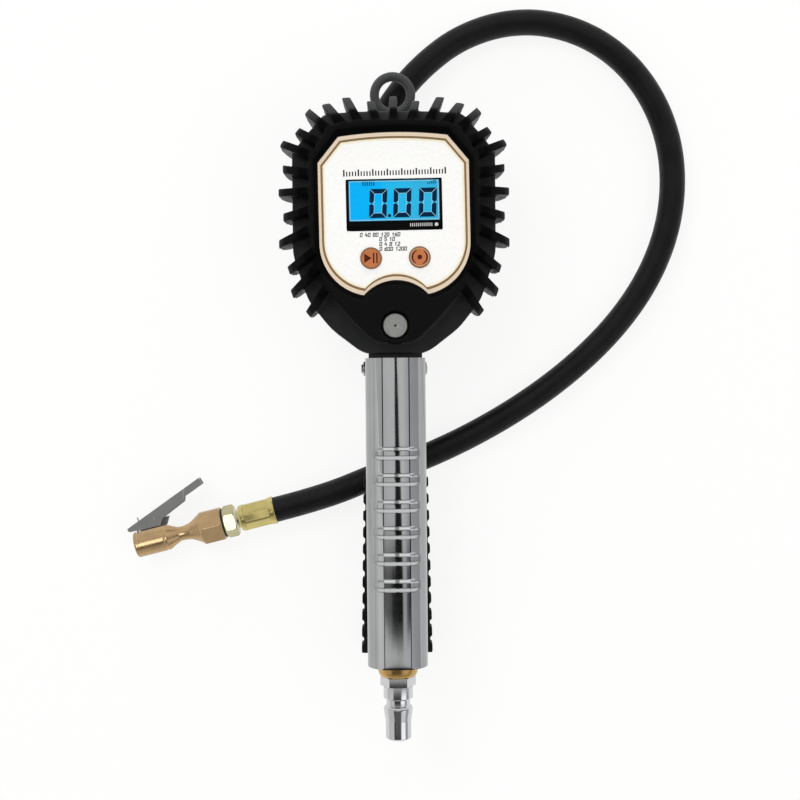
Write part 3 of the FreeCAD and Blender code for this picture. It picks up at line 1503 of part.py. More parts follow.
def main():
    os.makedirs("parts", exist_ok=True)
    nodes = {
        "handle": make_handle(),
        "valve_head": make_valve_head(),
        "head_pin": make_head_pin(),
        "head_seal": make_head_seal(),
        "gallery_plugs": make_gallery_plugs(),
        "lever": make_lever(),
        "lever_grip": make_lever_grip(),
        "lever_pin": make_lever_pin(),
        "lever_clip": make_lever_clip(),
        "valve_cartridge": make_valve_cartridge(),
        "stem_seal": make_stem_seal(),
        "valve_stem": make_valve_stem(),
        "valve_washer": make_valve_washer(),
        "valve_spring": make_valve_spring(),
        "inlet_adaptor": make_inlet_adaptor(),
        "inlet_washer": make_inlet_washer(),
        "inlet_filter": make_inlet_filter(),
        "inlet_plug": make_inlet_plug(),
        "rubber_boot": make_rubber_boot(),
        "hang_loop": make_hang_loop(),
        "loop_screw": make_loop_screw(),
        "gauge_case": make_gauge_case(),
        "rear_cover": make_rear_cover(),
        "case_screws": make_case_screws(),
        "battery_door": make_battery_door(),
        "door_screw": make_door_screw(),
        "batteries": make_batteries(),
        "battery_contacts": make_battery_contacts(),
        "face_label": make_face_label(),
        "lcd_frame": make_lcd_frame(),
        "lcd_window": make_lcd_window(),
        "lcd_panel": make_lcd_panel(),
        "backlight": make_backlight(),
        "circuit_board": make_circuit_board(),
        "tact_switches": make_tact_switches(),
        "button_left": make_key(-1),
        "button_right": make_key(1),
        "pressure_sensor": make_pressure_sensor(),
        "sensor_lead": make_sensor_lead(),
        "gauge_stem": make_gauge_stem(),
        "gauge_stem_seal": make_gauge_stem_seal(),
        "bleed_bush": make_bleed_bush(),
        "bleed_button": make_bleed_button(),
        "bleed_washer": make_bleed_washer(),
        "bleed_spring": make_bleed_spring(),
        "outlet_fitting": make_outlet_fitting(),
        "outlet_ferrule": make_outlet_ferrule(),
        "hose_ends": make_hose_ends(),
        "hose": make_hose(),
        "chuck_ferrule": make_chuck_ferrule(),
        "chuck_stem": make_chuck_stem(),
        "swivel_nut": make_swivel_nut(),
        "chuck_washer": make_chuck_washer(),
        "chuck_body": make_chuck_body(),
        "chuck_pin": make_chuck_pin(),
        "chuck_seal": make_chuck_seal(),
        "clip_post": make_clip_post(),
        "clip_pin": make_clip_pin(),
        "clip_lever": make_clip_lever(),
        "clip_spring": make_clip_spring(),
    }
    for name, shape in nodes.items():
        shape.exportStep("parts/" + name + ".step")


main()
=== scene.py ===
import math

import bmesh
import bpy
from mathutils import Euler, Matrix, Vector
from mathutils.geometry import tessellate_polygon


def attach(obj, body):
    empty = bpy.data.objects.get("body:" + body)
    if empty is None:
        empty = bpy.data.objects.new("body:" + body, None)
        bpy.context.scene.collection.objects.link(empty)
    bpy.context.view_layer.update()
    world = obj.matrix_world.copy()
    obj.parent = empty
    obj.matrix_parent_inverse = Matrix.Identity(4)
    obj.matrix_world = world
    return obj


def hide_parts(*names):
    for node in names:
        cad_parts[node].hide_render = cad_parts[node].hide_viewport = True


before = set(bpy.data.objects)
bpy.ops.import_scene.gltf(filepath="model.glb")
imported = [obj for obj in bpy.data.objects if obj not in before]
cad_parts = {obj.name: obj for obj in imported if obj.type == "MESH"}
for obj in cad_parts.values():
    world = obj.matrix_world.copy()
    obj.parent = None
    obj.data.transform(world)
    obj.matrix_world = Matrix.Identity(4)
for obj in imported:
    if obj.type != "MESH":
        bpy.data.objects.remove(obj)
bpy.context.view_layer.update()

# A tyre inflator with a digital gauge, dressed over its CAD frame. Lengths in the tables are millimetres.

MM = 0.001

# Camera, as it stood over the tool: its place, its turn in degrees and its lens
CAMERA_PLACE = (-5.73, 11.99, 629.8)
CAMERA_TURN = (-1.044, -0.755, -0.511)
CAMERA_LENS = 58.95

# The hose: the same points as in the part's source
HOSE_R = 6.0
HOSE_POINTS = [
    (-12.9, 92.225, 9.0), (-12.9, 106.725, 9.0), (-10.1, 121.0, 8.2), (-4.4, 134.9, 7.2), (4.4, 147.9, 6.5),
    (16.1, 160.3, 6.1), (31.2, 171.5, 6.1), (50.7, 178.6, 6.1), (71.6, 179.5, 6.1), (93.0, 173.2, 6.1),
    (111.0, 160.5, 6.1), (124.4, 142.4, 6.1), (132.0, 121.3, 6.1), (133.5, 99.2, 6.1), (129.7, 77.2, 6.1),
    (120.7, 56.2, 6.1), (107.1, 36.7, 6.1), (89.5, 18.8, 6.1), (68.5, 2.4, 6.1), (44.7, -12.3, 6.1),
    (18.7, -25.0, 6.1), (-8.6, -35.0, 6.2), (-34.1, -45.2, 8.7), (-57.4, -50.9, 8.7),
]

# Places on the tool, as in the part's source
Y_HANDLE = -119.575
Y_NECK = 20.125
Y_CHIN = 22.025
Y_TOP = 129.925
INLET_Z = 36.5
BLEED_Y = 12.2         # above the chin, as the next three
KEY_Y = 42.0
FACE_Y = 65.0
DISPLAY_Y = 65.3
KEY_X = 10.7           # each side of the middle
LABEL_Z = 52.6
CHUCK_END = Vector((-57.4, -50.9, 8.7))
CHUCK_AXIS = Vector((-23.3, -5.7, 0.0)).normalized()
CHUCK_SIDE = Vector((CHUCK_AXIS.y, -CHUCK_AXIS.x, 0.0))

# Camera and hose

def make_camera():
    data = bpy.data.cameras.new("camera")
    data.lens = CAMERA_LENS
    data.sensor_width = 36.0
    data.clip_start = 0.01
    data.clip_end = 20.0
    camera = bpy.data.objects.new("camera", data)
    camera.location = Vector(CAMERA_PLACE) * MM
    camera.rotation_euler = Euler([math.radians(v) for v in CAMERA_TURN], "XYZ")
    bpy.context.scene.collection.objects.link(camera)
    bpy.context.scene.camera = camera

def make_hose():
    curve = bpy.data.curves.new("hose_tube", "CURVE")
    curve.dimensions = "3D"
    spline = curve.splines.new("NURBS")
    spline.points.add(len(HOSE_POINTS) - 1)
    for point, place in zip(spline.points, HOSE_POINTS):
        point.co = (place[0] * MM, place[1] * MM, place[2] * MM, 1.0)
    spline.order_u = 3
    spline.use_endpoint_u = True
    curve.resolution_u = 12
    curve.bevel_depth = HOSE_R * MM
    curve.bevel_resolution = 10
    curve.use_fill_caps = True
    hose = bpy.data.objects.new("hose_tube", curve)
    bpy.context.scene.collection.objects.link(hose)
    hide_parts("hose")
    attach(hose, "tool")
    return hose

make_camera()
hose = make_hose()

# Materials

class Nodes:
    """A node tree that is written down node by node."""

    def __init__(self, tree):
        self.nodes = tree.nodes
        self.links = tree.links

    def add(self, kind, inputs, **values):
        """A new node: its inputs by name or number, and its other values."""
        node = self.nodes.new(kind)
        for name, value in values.items():
            setattr(node, name, value)
        for name, value in inputs.items():
            self.give(node.inputs[name], value)
        return node

    def give(self, socket, value):
        """Sets a socket to a number, a vector, a colour or another node's output."""
        if isinstance(value, bpy.types.NodeSocket):
            self.links.new(value, socket)
        elif socket.type == "RGBA":
            socket.default_value = (*value, 1.0)
        else:
            socket.default_value = value

    def maths(self, kind, a, b=None):
        inputs = {0: a} if b is None else {0: a, 1: b}
        return self.add("ShaderNodeMath", inputs, operation=kind).outputs["Value"]

    def vector_maths(self, kind, vector, fixed=None):
        """Maths on a vector and, where there is one, a fixed vector."""
        inputs = {0: vector} if fixed is None else {0: vector, 1: fixed}
        out = "Value" if kind in ("DOT_PRODUCT", "LENGTH") else "Vector"
        return self.add("ShaderNodeVectorMath", inputs, operation=kind).outputs[out]

    def parts(self, vector):
        return self.add("ShaderNodeSeparateXYZ", {0: vector}).outputs

    def stretched(self, vector, scale):
        """A place with each axis scaled, so that a pattern runs along one of them."""
        return self.add("ShaderNodeMapping", {"Scale": scale, "Vector": vector}).outputs["Vector"]

    def spread(self, value, low, high, start=0.3, end=0.7, **values):
        """A value that goes from start to end, as one that goes from low to high."""
        inputs = {"Value": value, "From Min": start, "From Max": end, "To Min": low, "To Max": high}
        return self.add("ShaderNodeMapRange", inputs, **values).outputs["Result"]

    def ramp(self, value, stops):
        node = self.add("ShaderNodeValToRGB", {"Fac": value})
        elements = node.color_ramp.elements
        while len(elements) < len(stops):
            elements.new(0.5)
        for element, (place, colour) in zip(elements, stops):
            element.position = place
            element.color = (*colour, 1.0)
        return node.outputs["Color"]

    def blend(self, fac, a, b, kind="MIX"):
        inputs = {"Factor": fac, 6: a, 7: b}
        return self.add("ShaderNodeMix", inputs, data_type="RGBA", blend_type=kind).outputs[2]

    def glow(self, kind, colour, strength):
        """An even light: an emission or a background."""
        return self.add(kind, {"Color": colour, "Strength": strength}).outputs[0]

    def either(self, fac, first, second):
        """The first shader where the factor is 0, the second where it is 1."""
        return self.add("ShaderNodeMixShader", {"Fac": fac, 1: first, 2: second}).outputs[0]

class Surface(Nodes):
    """A material with one main shader."""

    def __init__(self, name, colour, rough, metal=0.0, specular=0.5):
        self.mat = bpy.data.materials.new(name)
        self.mat.use_nodes = True
        super().__init__(self.mat.node_tree)
        self.sockets = self.nodes["Principled BSDF"].inputs
        self.colour(colour)
        self.roughness(rough)
        self.give(self.sockets["Metallic"], metal)
        self.give(self.sockets["Specular IOR Level"], specular)
        self.place = self.add("ShaderNodeTexCoord", {}).outputs["Object"]

    def noise(self, size, detail=3.0, vector=None):
        """Noise whose blotches are about one size across, in millimetres."""
        inputs = {"Scale": 1000.0 / size, "Detail": detail, "Roughness": 0.5, "Vector": vector or self.place}
        return self.add("ShaderNodeTexNoise", inputs).outputs["Fac"]

    def rings(self, distance, pitch):
        """Ridges at even steps of a distance, in millimetres."""
        return self.maths("SINE", self.maths("MULTIPLY", distance, 2000.0 * math.pi / pitch))

    def shaded(self, tone, dark):
        """The tone, darkened by the mesh's own shade."""
        shade = self.add("ShaderNodeAttribute", {}, attribute_name="shade").outputs["Fac"]
        return self.blend(shade, tone, dark)

    def colour(self, value):
        self.give(self.sockets["Base Color"], value)

    def roughness(self, value):
        self.give(self.sockets["Roughness"], value)

    def bump(self, *layers, normal=None):
        """Layers of (height, depth in millimetres, strength), one on the other."""
        for height, depth, strength in layers:
            inputs = {"Distance": depth * MM, "Strength": strength, "Height": height}
            if normal is not None:
                inputs["Normal"] = normal
            normal = self.add("ShaderNodeBump", inputs).outputs["Normal"]
        self.give(self.sockets["Normal"], normal)

def tinted(colour, factor):
    return tuple(min(1.0, c * factor) for c in colour)

def grey(level):
    return (level, level, level)

def rubber(name, colour, rough=0.6, grain=0.35, specular=0.15):
    s = Surface(name, colour, rough, specular=specular)
    s.colour(s.ramp(s.noise(9.0, 4.0), [(0.35, tinted(colour, 0.75)), (0.65, tinted(colour, 1.3))]))
    s.roughness(s.spread(s.noise(3.0, 4.0), rough - 0.08, rough + 0.1))
    s.bump((s.noise(grain, 2.0), 0.04, 0.3), (s.noise(5.0, 2.0), 0.06, 0.2))
    return s.mat

def boot_rubber():
    """The boot: painted light makes it greyer low down between its fins, painted shade makes it darkest on
    the slope round the label, and painted highlight makes the fins at its top end paler.
    """
    s = Surface("boot_rubber", (0.006, 0.006, 0.0063), 0.5, specular=0.1)
    place = s.parts(s.place)
    height = s.spread(place["Z"], 0.0, 1.0, 0.045, 0.056)
    # Painted light and shade by height: paler low down between the fins, near black on the slope round the
    # label.
    tone = s.ramp(height, [
        (0.0, (0.011, 0.0115, 0.0115)), (0.2, (0.011, 0.0115, 0.0115)), (0.25, (0.021, 0.0215, 0.0215)),
        (0.29, (0.021, 0.0215, 0.0215)), (0.36, (0.0055, 0.0055, 0.0058)), (0.64, (0.004, 0.004, 0.0042)),
        (0.68, (0.0012, 0.0012, 0.0013)), (0.86, (0.0016, 0.0016, 0.0017)), (0.9, (0.0042, 0.0042, 0.0044))])
    tone = s.blend(s.spread(s.noise(7.0, 4.0), 0.0, 0.45), tone, (0.003, 0.003, 0.0031))
    # Painted highlight: the fins at the top end made paler, as light from above falls on them.
    top_end = s.spread(place["Y"], 0.0, 1.0, 0.121, 0.131)
    fin_highlight_and_round_edge = s.maths("MULTIPLY", top_end, s.spread(height, 0.9, 0.0, 0.55, 0.62))
    s.colour(s.blend(fin_highlight_and_round_edge, tone, (0.055, 0.056, 0.057)))
    gloss = s.ramp(height, [(0.0, grey(0.32)), (0.3, grey(0.3)), (0.4, grey(0.08)), (0.66, grey(0.02)),
                            (0.86, grey(0.02)), (0.9, grey(0.07))])
    s.give(s.sockets["Specular IOR Level"], gloss)
    s.roughness(s.spread(s.noise(3.0, 4.0), 0.42, 0.58))
    s.bump((s.noise(0.4, 2.0), 0.035, 0.3), (s.noise(5.0, 2.0), 0.05, 0.2))
    return s.mat

def cast_metal(name, colour, rough):
    """A rough casting, painted or dull."""
    s = Surface(name, colour, rough, specular=0.4)
    s.colour(s.ramp(s.noise(5.0, 5.0), [(0.3, tinted(colour, 0.75)), (0.7, tinted(colour, 1.4))]))
    s.roughness(s.spread(s.noise(1.2), rough - 0.06, rough + 0.12))
    s.bump((s.noise(0.6), 0.08, 0.4))
    return s.mat

def bright_metal(name, colour, rough, wave=30.0, wave_depth=0.003, scratch=0.08, shaded=False):
    """Polished or satin metal: faint lengthwise marks and slightly uneven gloss, dark where it is shaded."""
    s = Surface(name, colour, rough, metal=1.0)
    tone = s.ramp(s.noise(14.0, 4.0), [(0.3, tinted(colour, 0.95)), (0.7, tinted(colour, 1.04))])
    s.colour(s.shaded(tone, tinted(colour, 0.05)) if shaded else tone)
    s.roughness(s.spread(s.noise(6.0, 5.0), rough * 0.8, rough * 1.25))
    marks = s.noise(0.25, 2.0, s.stretched(s.place, (1.0, 0.06, 1.0)))
    s.bump((s.noise(wave, 1.0), wave_depth, 0.5), (marks, 0.003, scratch))
    return s.mat

INLET_AXIS = ((0.0, 0.0, INLET_Z * MM), (0.0, 1.0, 0.0))
HOSE_END_AXIS = (tuple(CHUCK_END * MM), tuple(CHUCK_AXIS))

def turned_metal(name, colour, rough, axis, pitch=0.35, depth=0.01, dark=0.8, shaded=False, edge=0.0):
    """Metal turned on a lathe: fine rings round an axis, with darker tarnish in patches."""
    start, heading = axis
    s = Surface(name, colour, rough, metal=1.0)
    along = s.vector_maths("DOT_PRODUCT", s.vector_maths("SUBTRACT", s.place, start), heading)
    tone = s.ramp(s.noise(6.0), [(0.3, tinted(colour, dark)), (0.6, colour), (0.8, tinted(colour, 1.06))])
    s.colour(s.shaded(tone, tinted(colour, 0.1)) if shaded else tone)
    s.roughness(s.spread(s.noise(2.5, 4.0), rough * 0.85, rough * 1.2))
    fin_highlight_and_round_edge = None
    if edge:
        fin_highlight_and_round_edge = s.add("ShaderNodeBevel", {"Radius": edge * MM}, samples=8).outputs["Normal"]
    s.bump((s.rings(along, pitch), depth, 0.2), (s.noise(0.6, 2.0), 0.004, 0.15), normal=fin_highlight_and_round_edge)
    return s.mat

def plastic(name, colour, rough, grain=0.0, specular=0.5):
    s = Surface(name, colour, rough, specular=specular)
    s.colour(s.ramp(s.noise(8.0), [(0.3, tinted(colour, 0.92)), (0.7, tinted(colour, 1.06))]))
    s.roughness(s.spread(s.noise(2.5), rough * 0.85, min(1.0, rough * 1.2)))
    if grain:
        s.bump((s.noise(grain, 2.0), 0.04, 0.4))
    else:
        s.bump((s.noise(12.0, 1.0), 0.01, 0.3))
    return s.mat

def printed(name, colour, rough=0.45, specular=0.3):
    """Ink or film on the gauge face."""
    s = Surface(name, colour, rough, specular=specular)
    s.colour(s.ramp(s.noise(1.5, 4.0), [(0.3, tinted(colour, 0.96)), (0.7, tinted(colour, 1.02))]))
    s.roughness(s.spread(s.noise(4.0), rough - 0.05, rough + 0.08))
    return s.mat

def screen_blue():
    """The lit display: bright blue at its left, paler to the right."""
    s = Surface("screen_blue", (0.0, 0.43, 0.88), 0.25, specular=0.1)
    across = s.spread(s.parts(s.place)["X"], 0.0, 1.0, -0.018, 0.020)
    uneven = s.spread(s.noise(9.0), -0.12, 0.12)
    s.colour(s.ramp(s.maths("ADD", across, uneven), [
        (0.0, (0.0, 0.42, 0.90)), (0.25, (0.0, 0.43, 0.89)),
        (0.5, (0.018, 0.47, 0.80)), (1.0, (0.035, 0.42, 0.70))]))
    s.roughness(s.spread(s.noise(4.0), 0.2, 0.3))
    return s.mat

def silver_face():
    """The bleed button: satin silver, faced on a lathe, with fine rings round its middle, a paler band at its
    rim and painted shade in the small dimple at its middle.
    """
    s = Surface("bleed_silver", (0.56, 0.56, 0.53), 0.42, metal=1.0)
    shift = s.vector_maths("SUBTRACT", s.place, (0.0, (Y_CHIN + BLEED_Y) * MM, 0.0))
    radius = s.vector_maths("LENGTH", s.vector_maths("MULTIPLY", shift, (1.0, 1.0, 0.0)))
    speckle = s.noise(0.35)
    tone = s.ramp(speckle, [(0.35, (0.40, 0.40, 0.37)), (0.65, (0.66, 0.66, 0.62))])
    edge = s.spread(radius, 0.0, 1.0, 0.0050, 0.0053)
    # Painted shade: the small dimple at the middle made near black.
    dimple = s.spread(radius, 1.0, 0.0, 0.0003, 0.0008)
    rim = s.blend(edge, tone, (0.80, 0.80, 0.77))
    s.colour(s.blend(dimple, rim, grey(0.03)))
    s.roughness(s.spread(speckle, 0.36, 0.52))
    s.bump((s.rings(radius, 0.42), 0.012, 0.5), (speckle, 0.01, 0.35))
    return s.mat

MATERIALS = {
    "boot": boot_rubber(),
    "grip": rubber("grip_rubber", (0.0055, 0.0055, 0.0058), 0.6),
    "hose": rubber("hose_cover", (0.0045, 0.0045, 0.0048), 0.4, grain=0.5, specular=0.2),
    "seal": rubber("seal_rubber", grey(0.02), 0.5),
    "handle": bright_metal("handle_chrome", (0.58, 0.585, 0.59), 0.06, shaded=True),
    "plug": turned_metal("plug_chrome", (0.62, 0.62, 0.63), 0.05, INLET_AXIS, 0.5, 0.002, 0.96),
    "casting": cast_metal("head_casting", (0.007, 0.007, 0.0075), 0.5),
    "steel": bright_metal("satin_steel", (0.52, 0.52, 0.53), 0.28, 20.0, 0.01, 0.2),
    "clip_steel": bright_metal("clip_steel", (0.44, 0.44, 0.43), 0.42, 5.0, 0.03, 0.4),
    "spring": bright_metal("spring_wire", (0.42, 0.42, 0.44), 0.25),
    "inlet_brass": turned_metal("inlet_brass", (0.58, 0.36, 0.125), 0.24, INLET_AXIS),
    "brass": turned_metal("chuck_brass", (0.53, 0.36, 0.19), 0.26, HOSE_END_AXIS, 0.4, 0.006, 0.86, edge=0.9),
    "nut_brass": turned_metal("nut_brass", (0.50, 0.46, 0.27), 0.2, HOSE_END_AXIS, 0.5, 0.004, 0.9, edge=0.5),
    "ferrule_brass": turned_metal("ferrule_brass", (0.62, 0.52, 0.20), 0.22, HOSE_END_AXIS, 0.6, 0.004, 0.9,
                                  shaded=True),
    "case": plastic("case_plastic", (0.012, 0.012, 0.013), 0.5, 0.4, 0.3),
    "frame": plastic("frame_plastic", (0.0015, 0.0015, 0.0017), 0.35, specular=0.08),
    "cream": printed("label_cream", (0.80, 0.66, 0.50)),
    "gold": printed("label_gold", (0.235, 0.14, 0.06), 0.35),
    "white": printed("label_white", (0.95, 0.945, 0.925)),
    "ink": printed("label_ink", grey(0.006)),
    "screen_ink": printed("screen_ink", (0.0, 0.019, 0.055), specular=0.06),
    "screen_line": printed("screen_line", (0.29, 0.62, 0.80)),
    "bar_mark": printed("bar_mark", grey(0.62)),
    "key_ink": printed("key_ink", (0.075, 0.004, 0.002)),
    "key": plastic("key_copper", (0.53, 0.165, 0.05), 0.4, 0.3),
    "key_rim": plastic("key_rim", (0.26, 0.13, 0.05), 0.4),
    "key_edge": plastic("key_edge", (0.55, 0.42, 0.24), 0.4),
    "white_plastic": plastic("white_plastic", (0.75, 0.77, 0.79), 0.5),
    "board": plastic("board_green", (0.02, 0.12, 0.05), 0.45),
    "cell": bright_metal("cell_jacket", (0.25, 0.3, 0.42), 0.35),
    "lug": cast_metal("lug_metal", (0.09, 0.085, 0.075), 0.45),
    "screen": screen_blue(),
    "bleed": silver_face(),
}

# Pieces

BODY_NODES = {
    "lever_arm": ["lever", "lever_grip"],
    "valve": ["valve_stem", "valve_washer"],
    "bleed": ["bleed_button", "bleed_washer"],
    "left_key": ["button_left"],
    "right_key": ["button_right"],
    "clip": ["clip_lever", "clip_spring"],
}

def body_of(node):
    for body, names in BODY_NODES.items():
        if node in names:
            return body
    return "tool"

def own_copy(node, drop=None):
    """A CAD node's mesh as a new mesh, joined along its edges, its flat faces whole, some faces left out."""
    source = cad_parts[node]
    mesh = source.data.copy()
    mesh.transform(source.matrix_world)
    bm = bmesh.new()
    bm.from_mesh(mesh)
    bmesh.ops.remove_doubles(bm, verts=bm.verts, dist=0.002 * MM)
    if drop:
        bmesh.ops.delete(bm, geom=[f for f in bm.faces if drop(f)], context="FACES")
    bmesh.ops.dissolve_limit(bm, angle_limit=math.radians(0.8), verts=bm.verts, edges=bm.edges)
    clean = bpy.data.meshes.new(node + "_skin")
    bm.to_mesh(clean)
    bm.free()
    bpy.data.meshes.remove(mesh)
    return clean

def smooth(mesh):
    mesh.polygons.foreach_set("use_smooth", [True] * len(mesh.polygons))

def shade(mesh, values):
    """Gives each point of a mesh its painted shade: how dark its colour is made."""
    attribute = mesh.attributes.new("shade", "FLOAT", "POINT")
    attribute.data.foreach_set("value", values)

def paint(mesh, material):
    mesh.materials.clear()
    mesh.materials.append(MATERIALS[material])

def linked(name, mesh, material, body):
    piece = bpy.data.objects.new(name, mesh)
    bpy.context.scene.collection.objects.link(piece)
    paint(mesh, material)
    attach(piece, body)
    return piece

def softened(node, material, width, drop=None):
    """The node's shape again with its edges rounded by a small width, in millimetres."""
    mesh = own_copy(node, drop)
    smooth(mesh)
    piece = linked(node + "_skin", mesh, material, body_of(node))
    bevel = piece.modifiers.new("edges", "BEVEL")
    bevel.width = width * MM
    bevel.segments = 2
    bevel.limit_method = "ANGLE"
    bevel.angle_limit = math.radians(28.0)
    bevel.miter_outer = "MITER_ARC"
    evened = piece.modifiers.new("evened", "WEIGHTED_NORMAL")
    evened.weight = 60
    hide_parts(node)

def moulded(node, material, rounds):
    """The node's shape again as one soft skin, its edges and corners rounded as a rubber moulding's are."""
    mesh = own_copy(node)
    piece = linked(node + "_skin", mesh, material, body_of(node))
    skin = piece.modifiers.new("skin", "REMESH")
    skin.mode = "VOXEL"
    skin.voxel_size = 0.5 * MM
    skin.use_smooth_shade = True
    soft = piece.modifiers.new("soft", "SMOOTH")
    soft.factor = 0.5
    soft.iterations = rounds
    lean = piece.modifiers.new("lean", "DECIMATE")
    lean.ratio = 0.4
    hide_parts(node)

# CAD nodes that keep their mesh, by material
PLAIN = {
    "steel": "head_pin gallery_plugs loop_screw case_screws door_screw pressure_sensor",
    "seal": "head_seal stem_seal valve_washer inlet_washer gauge_stem_seal bleed_washer chuck_washer "
            "chuck_seal",
    "inlet_brass": "valve_cartridge valve_stem inlet_filter gauge_stem bleed_bush outlet_fitting",
    "spring": "valve_spring battery_contacts bleed_spring clip_spring",
    "nut_brass": "outlet_ferrule chuck_stem",
    "white_plastic": "lcd_panel backlight sensor_lead",
    "brass": "chuck_pin",
    "clip_steel": "clip_pin",
    "hose": "hose_ends",
    "case": "gauge_case",
    "cell": "batteries",
    "board": "circuit_board",
    "frame": "tact_switches",
    "cream": "face_label",
    "screen": "lcd_window",
}
# CAD nodes with rounded edges: material, slot and the rounding's width
SOFT = {
    "valve_head": ("casting", "black_casting", 0.5), "lever": ("steel", "steel", 0.3),
    "lever_pin": ("clip_steel", "steel", 0.2), "lever_clip": ("spring", "spring_steel", 0.12),
    "inlet_adaptor": ("inlet_brass", "brass", 0.2), "inlet_plug": ("plug", "chrome", 0.2),
    "hang_loop": ("boot", "steel", 0.4), "rear_cover": ("case", "case_plastic", 0.3),
    "battery_door": ("case", "case_plastic", 0.2), "button_left": ("key", "copper_button", 0.25),
    "button_right": ("key", "copper_button", 0.25), "bleed_button": ("bleed", "steel", 0.2),
    "swivel_nut": ("nut_brass", "pale_brass", 0.3), "chuck_body": ("brass", "brass", 0.4),
    "clip_post": ("lug", "brass", 0.25), "clip_lever": ("clip_steel", "steel", 0.18),
}
for material, nodes in PLAIN.items():
    for node in nodes.split():
        paint(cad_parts[node].data, material)
for node, (material, slot, width) in SOFT.items():
    softened(node, material, width)
hose.data.materials.append(MATERIALS["hose"])
moulded("rubber_boot", "boot", 5)
moulded("lever_grip", "grip", 4)

# Handle: its CAD shape behind, and a finely divided front with the finger grooves

# The front's strip and its rounded sides, as in the part's source
STRIP_HALF = 6.0
STRIP_R = 40.2
STRIP_CENTRE_Z = 6.3
SIDE_R = 11.78
SIDE_CENTRE_X = 1.92
SIDE_CENTRE_Z = 35.0
FRONT_SKIN = 1.15      # the CAD's faces down to this depth give way to the new front
FRONT_START_Z = 35.05
END_FACE = 0.4

# The front's columns of points
SIDE_STEPS = 44
STRIP_STEPS = 24
CREASE_HALF = 0.15
CREASE_SHADE = 0.85

# The front's rows of points: even ones at its lower end, fine ones at the grooves, even ones above them
LOWER_ROW = 1.6
LOWER_ROWS = 21
CLOSE_ROW = 0.4
FINE_ROW = 0.24
UPPER_LENGTH = 37.6
UPPER_ROWS = 24

# Finger grooves
GROOVES = [Y_NECK - 42.6 - 11.85 * i for i in range(6)]
GROOVE_HALF = 2.875
GROOVE_REACH = 10.65
GROOVE_DEPTH = 0.56
GROOVE_TAPER = 2.6
GROOVE_NARROW = 0.72   # share of the width that is left at the ends
UPPER_SLOPE = 1.9
LOWER_SLOPE = 1.6
DARK_REFLECTION_HALF = 1.2        # the painted dark reflection in the middle of each upper slope

def front_depth(x, z):
    """How far a place is under the handle's rounded front."""
    if abs(x) <= STRIP_HALF:
        return STRIP_CENTRE_Z + math.sqrt(STRIP_R ** 2 - x * x) - z
    return SIDE_R - math.hypot(abs(x) - SIDE_CENTRE_X, z - SIDE_CENTRE_Z)

def is_front(face):
    c = face.calc_center_median() / MM
    if c.z < FRONT_START_Z or front_depth(c.x, c.z) > FRONT_SKIN:
        return False
    at_end = c.y < Y_HANDLE + END_FACE or c.y > Y_NECK - END_FACE
    return not (at_end and abs(face.normal.y) > 0.9)

def on_arc(centre_x, centre_z, radius, angle, dark):
    """A column: its x and z on an arc, the way out of it, and how dark it is."""
    out_x, out_z = math.sin(angle), math.cos(angle)
    return (centre_x + radius * out_x, centre_z + radius * out_z, out_x, out_z, dark)

def front_columns():
    """The columns across the handle's front, with a narrow line of painted shade along the crease on each
    side of the strip.
    """
    crease = math.asin((STRIP_HALF - SIDE_CENTRE_X) / SIDE_R)
    sweep = math.pi / 2 - crease - 2 * CREASE_HALF / SIDE_R
    side = []
    for i in range(SIDE_STEPS + 1):
        side.append(on_arc(SIDE_CENTRE_X, SIDE_CENTRE_Z, SIDE_R, math.pi / 2 - sweep * i / SIDE_STEPS, 0.0))
    side.append(on_arc(SIDE_CENTRE_X, SIDE_CENTRE_Z, SIDE_R, crease + CREASE_HALF / SIDE_R, CREASE_SHADE))
    inner = math.asin((STRIP_HALF - CREASE_HALF) / STRIP_R)
    strip = []
    for i in range(-STRIP_STEPS, STRIP_STEPS + 1):
        if abs(i) == STRIP_STEPS:
            strip.append(on_arc(0.0, STRIP_CENTRE_Z, STRIP_R, inner * i / STRIP_STEPS, CREASE_SHADE))
        else:
            angle = (inner - CREASE_HALF / STRIP_R) * i / (STRIP_STEPS - 1)
            strip.append(on_arc(0.0, STRIP_CENTRE_Z, STRIP_R, angle, 0.0))
    left = [(-x, z, -out_x, out_z, dark) for x, z, out_x, out_z, dark in side]
    return left + strip + side[::-1]

def front_rows():
    lower = [Y_HANDLE + LOWER_ROW * i for i in range(LOWER_ROWS)]
    lower[1:1] = [Y_HANDLE + CLOSE_ROW * i for i in (1, 2, 3)]
    start, stop = Y_HANDLE + LOWER_ROW * LOWER_ROWS, Y_NECK - UPPER_LENGTH
    count = round((stop - start) / FINE_ROW)
    fine = [start + (stop - start) * i / count for i in range(count + 1)]
    upper = [stop + (Y_NECK - stop) * i / UPPER_ROWS for i in range(1, UPPER_ROWS + 1)]
    return lower + fine + upper

def bell(distance, width):
    return math.exp(-(distance / width) ** 2)

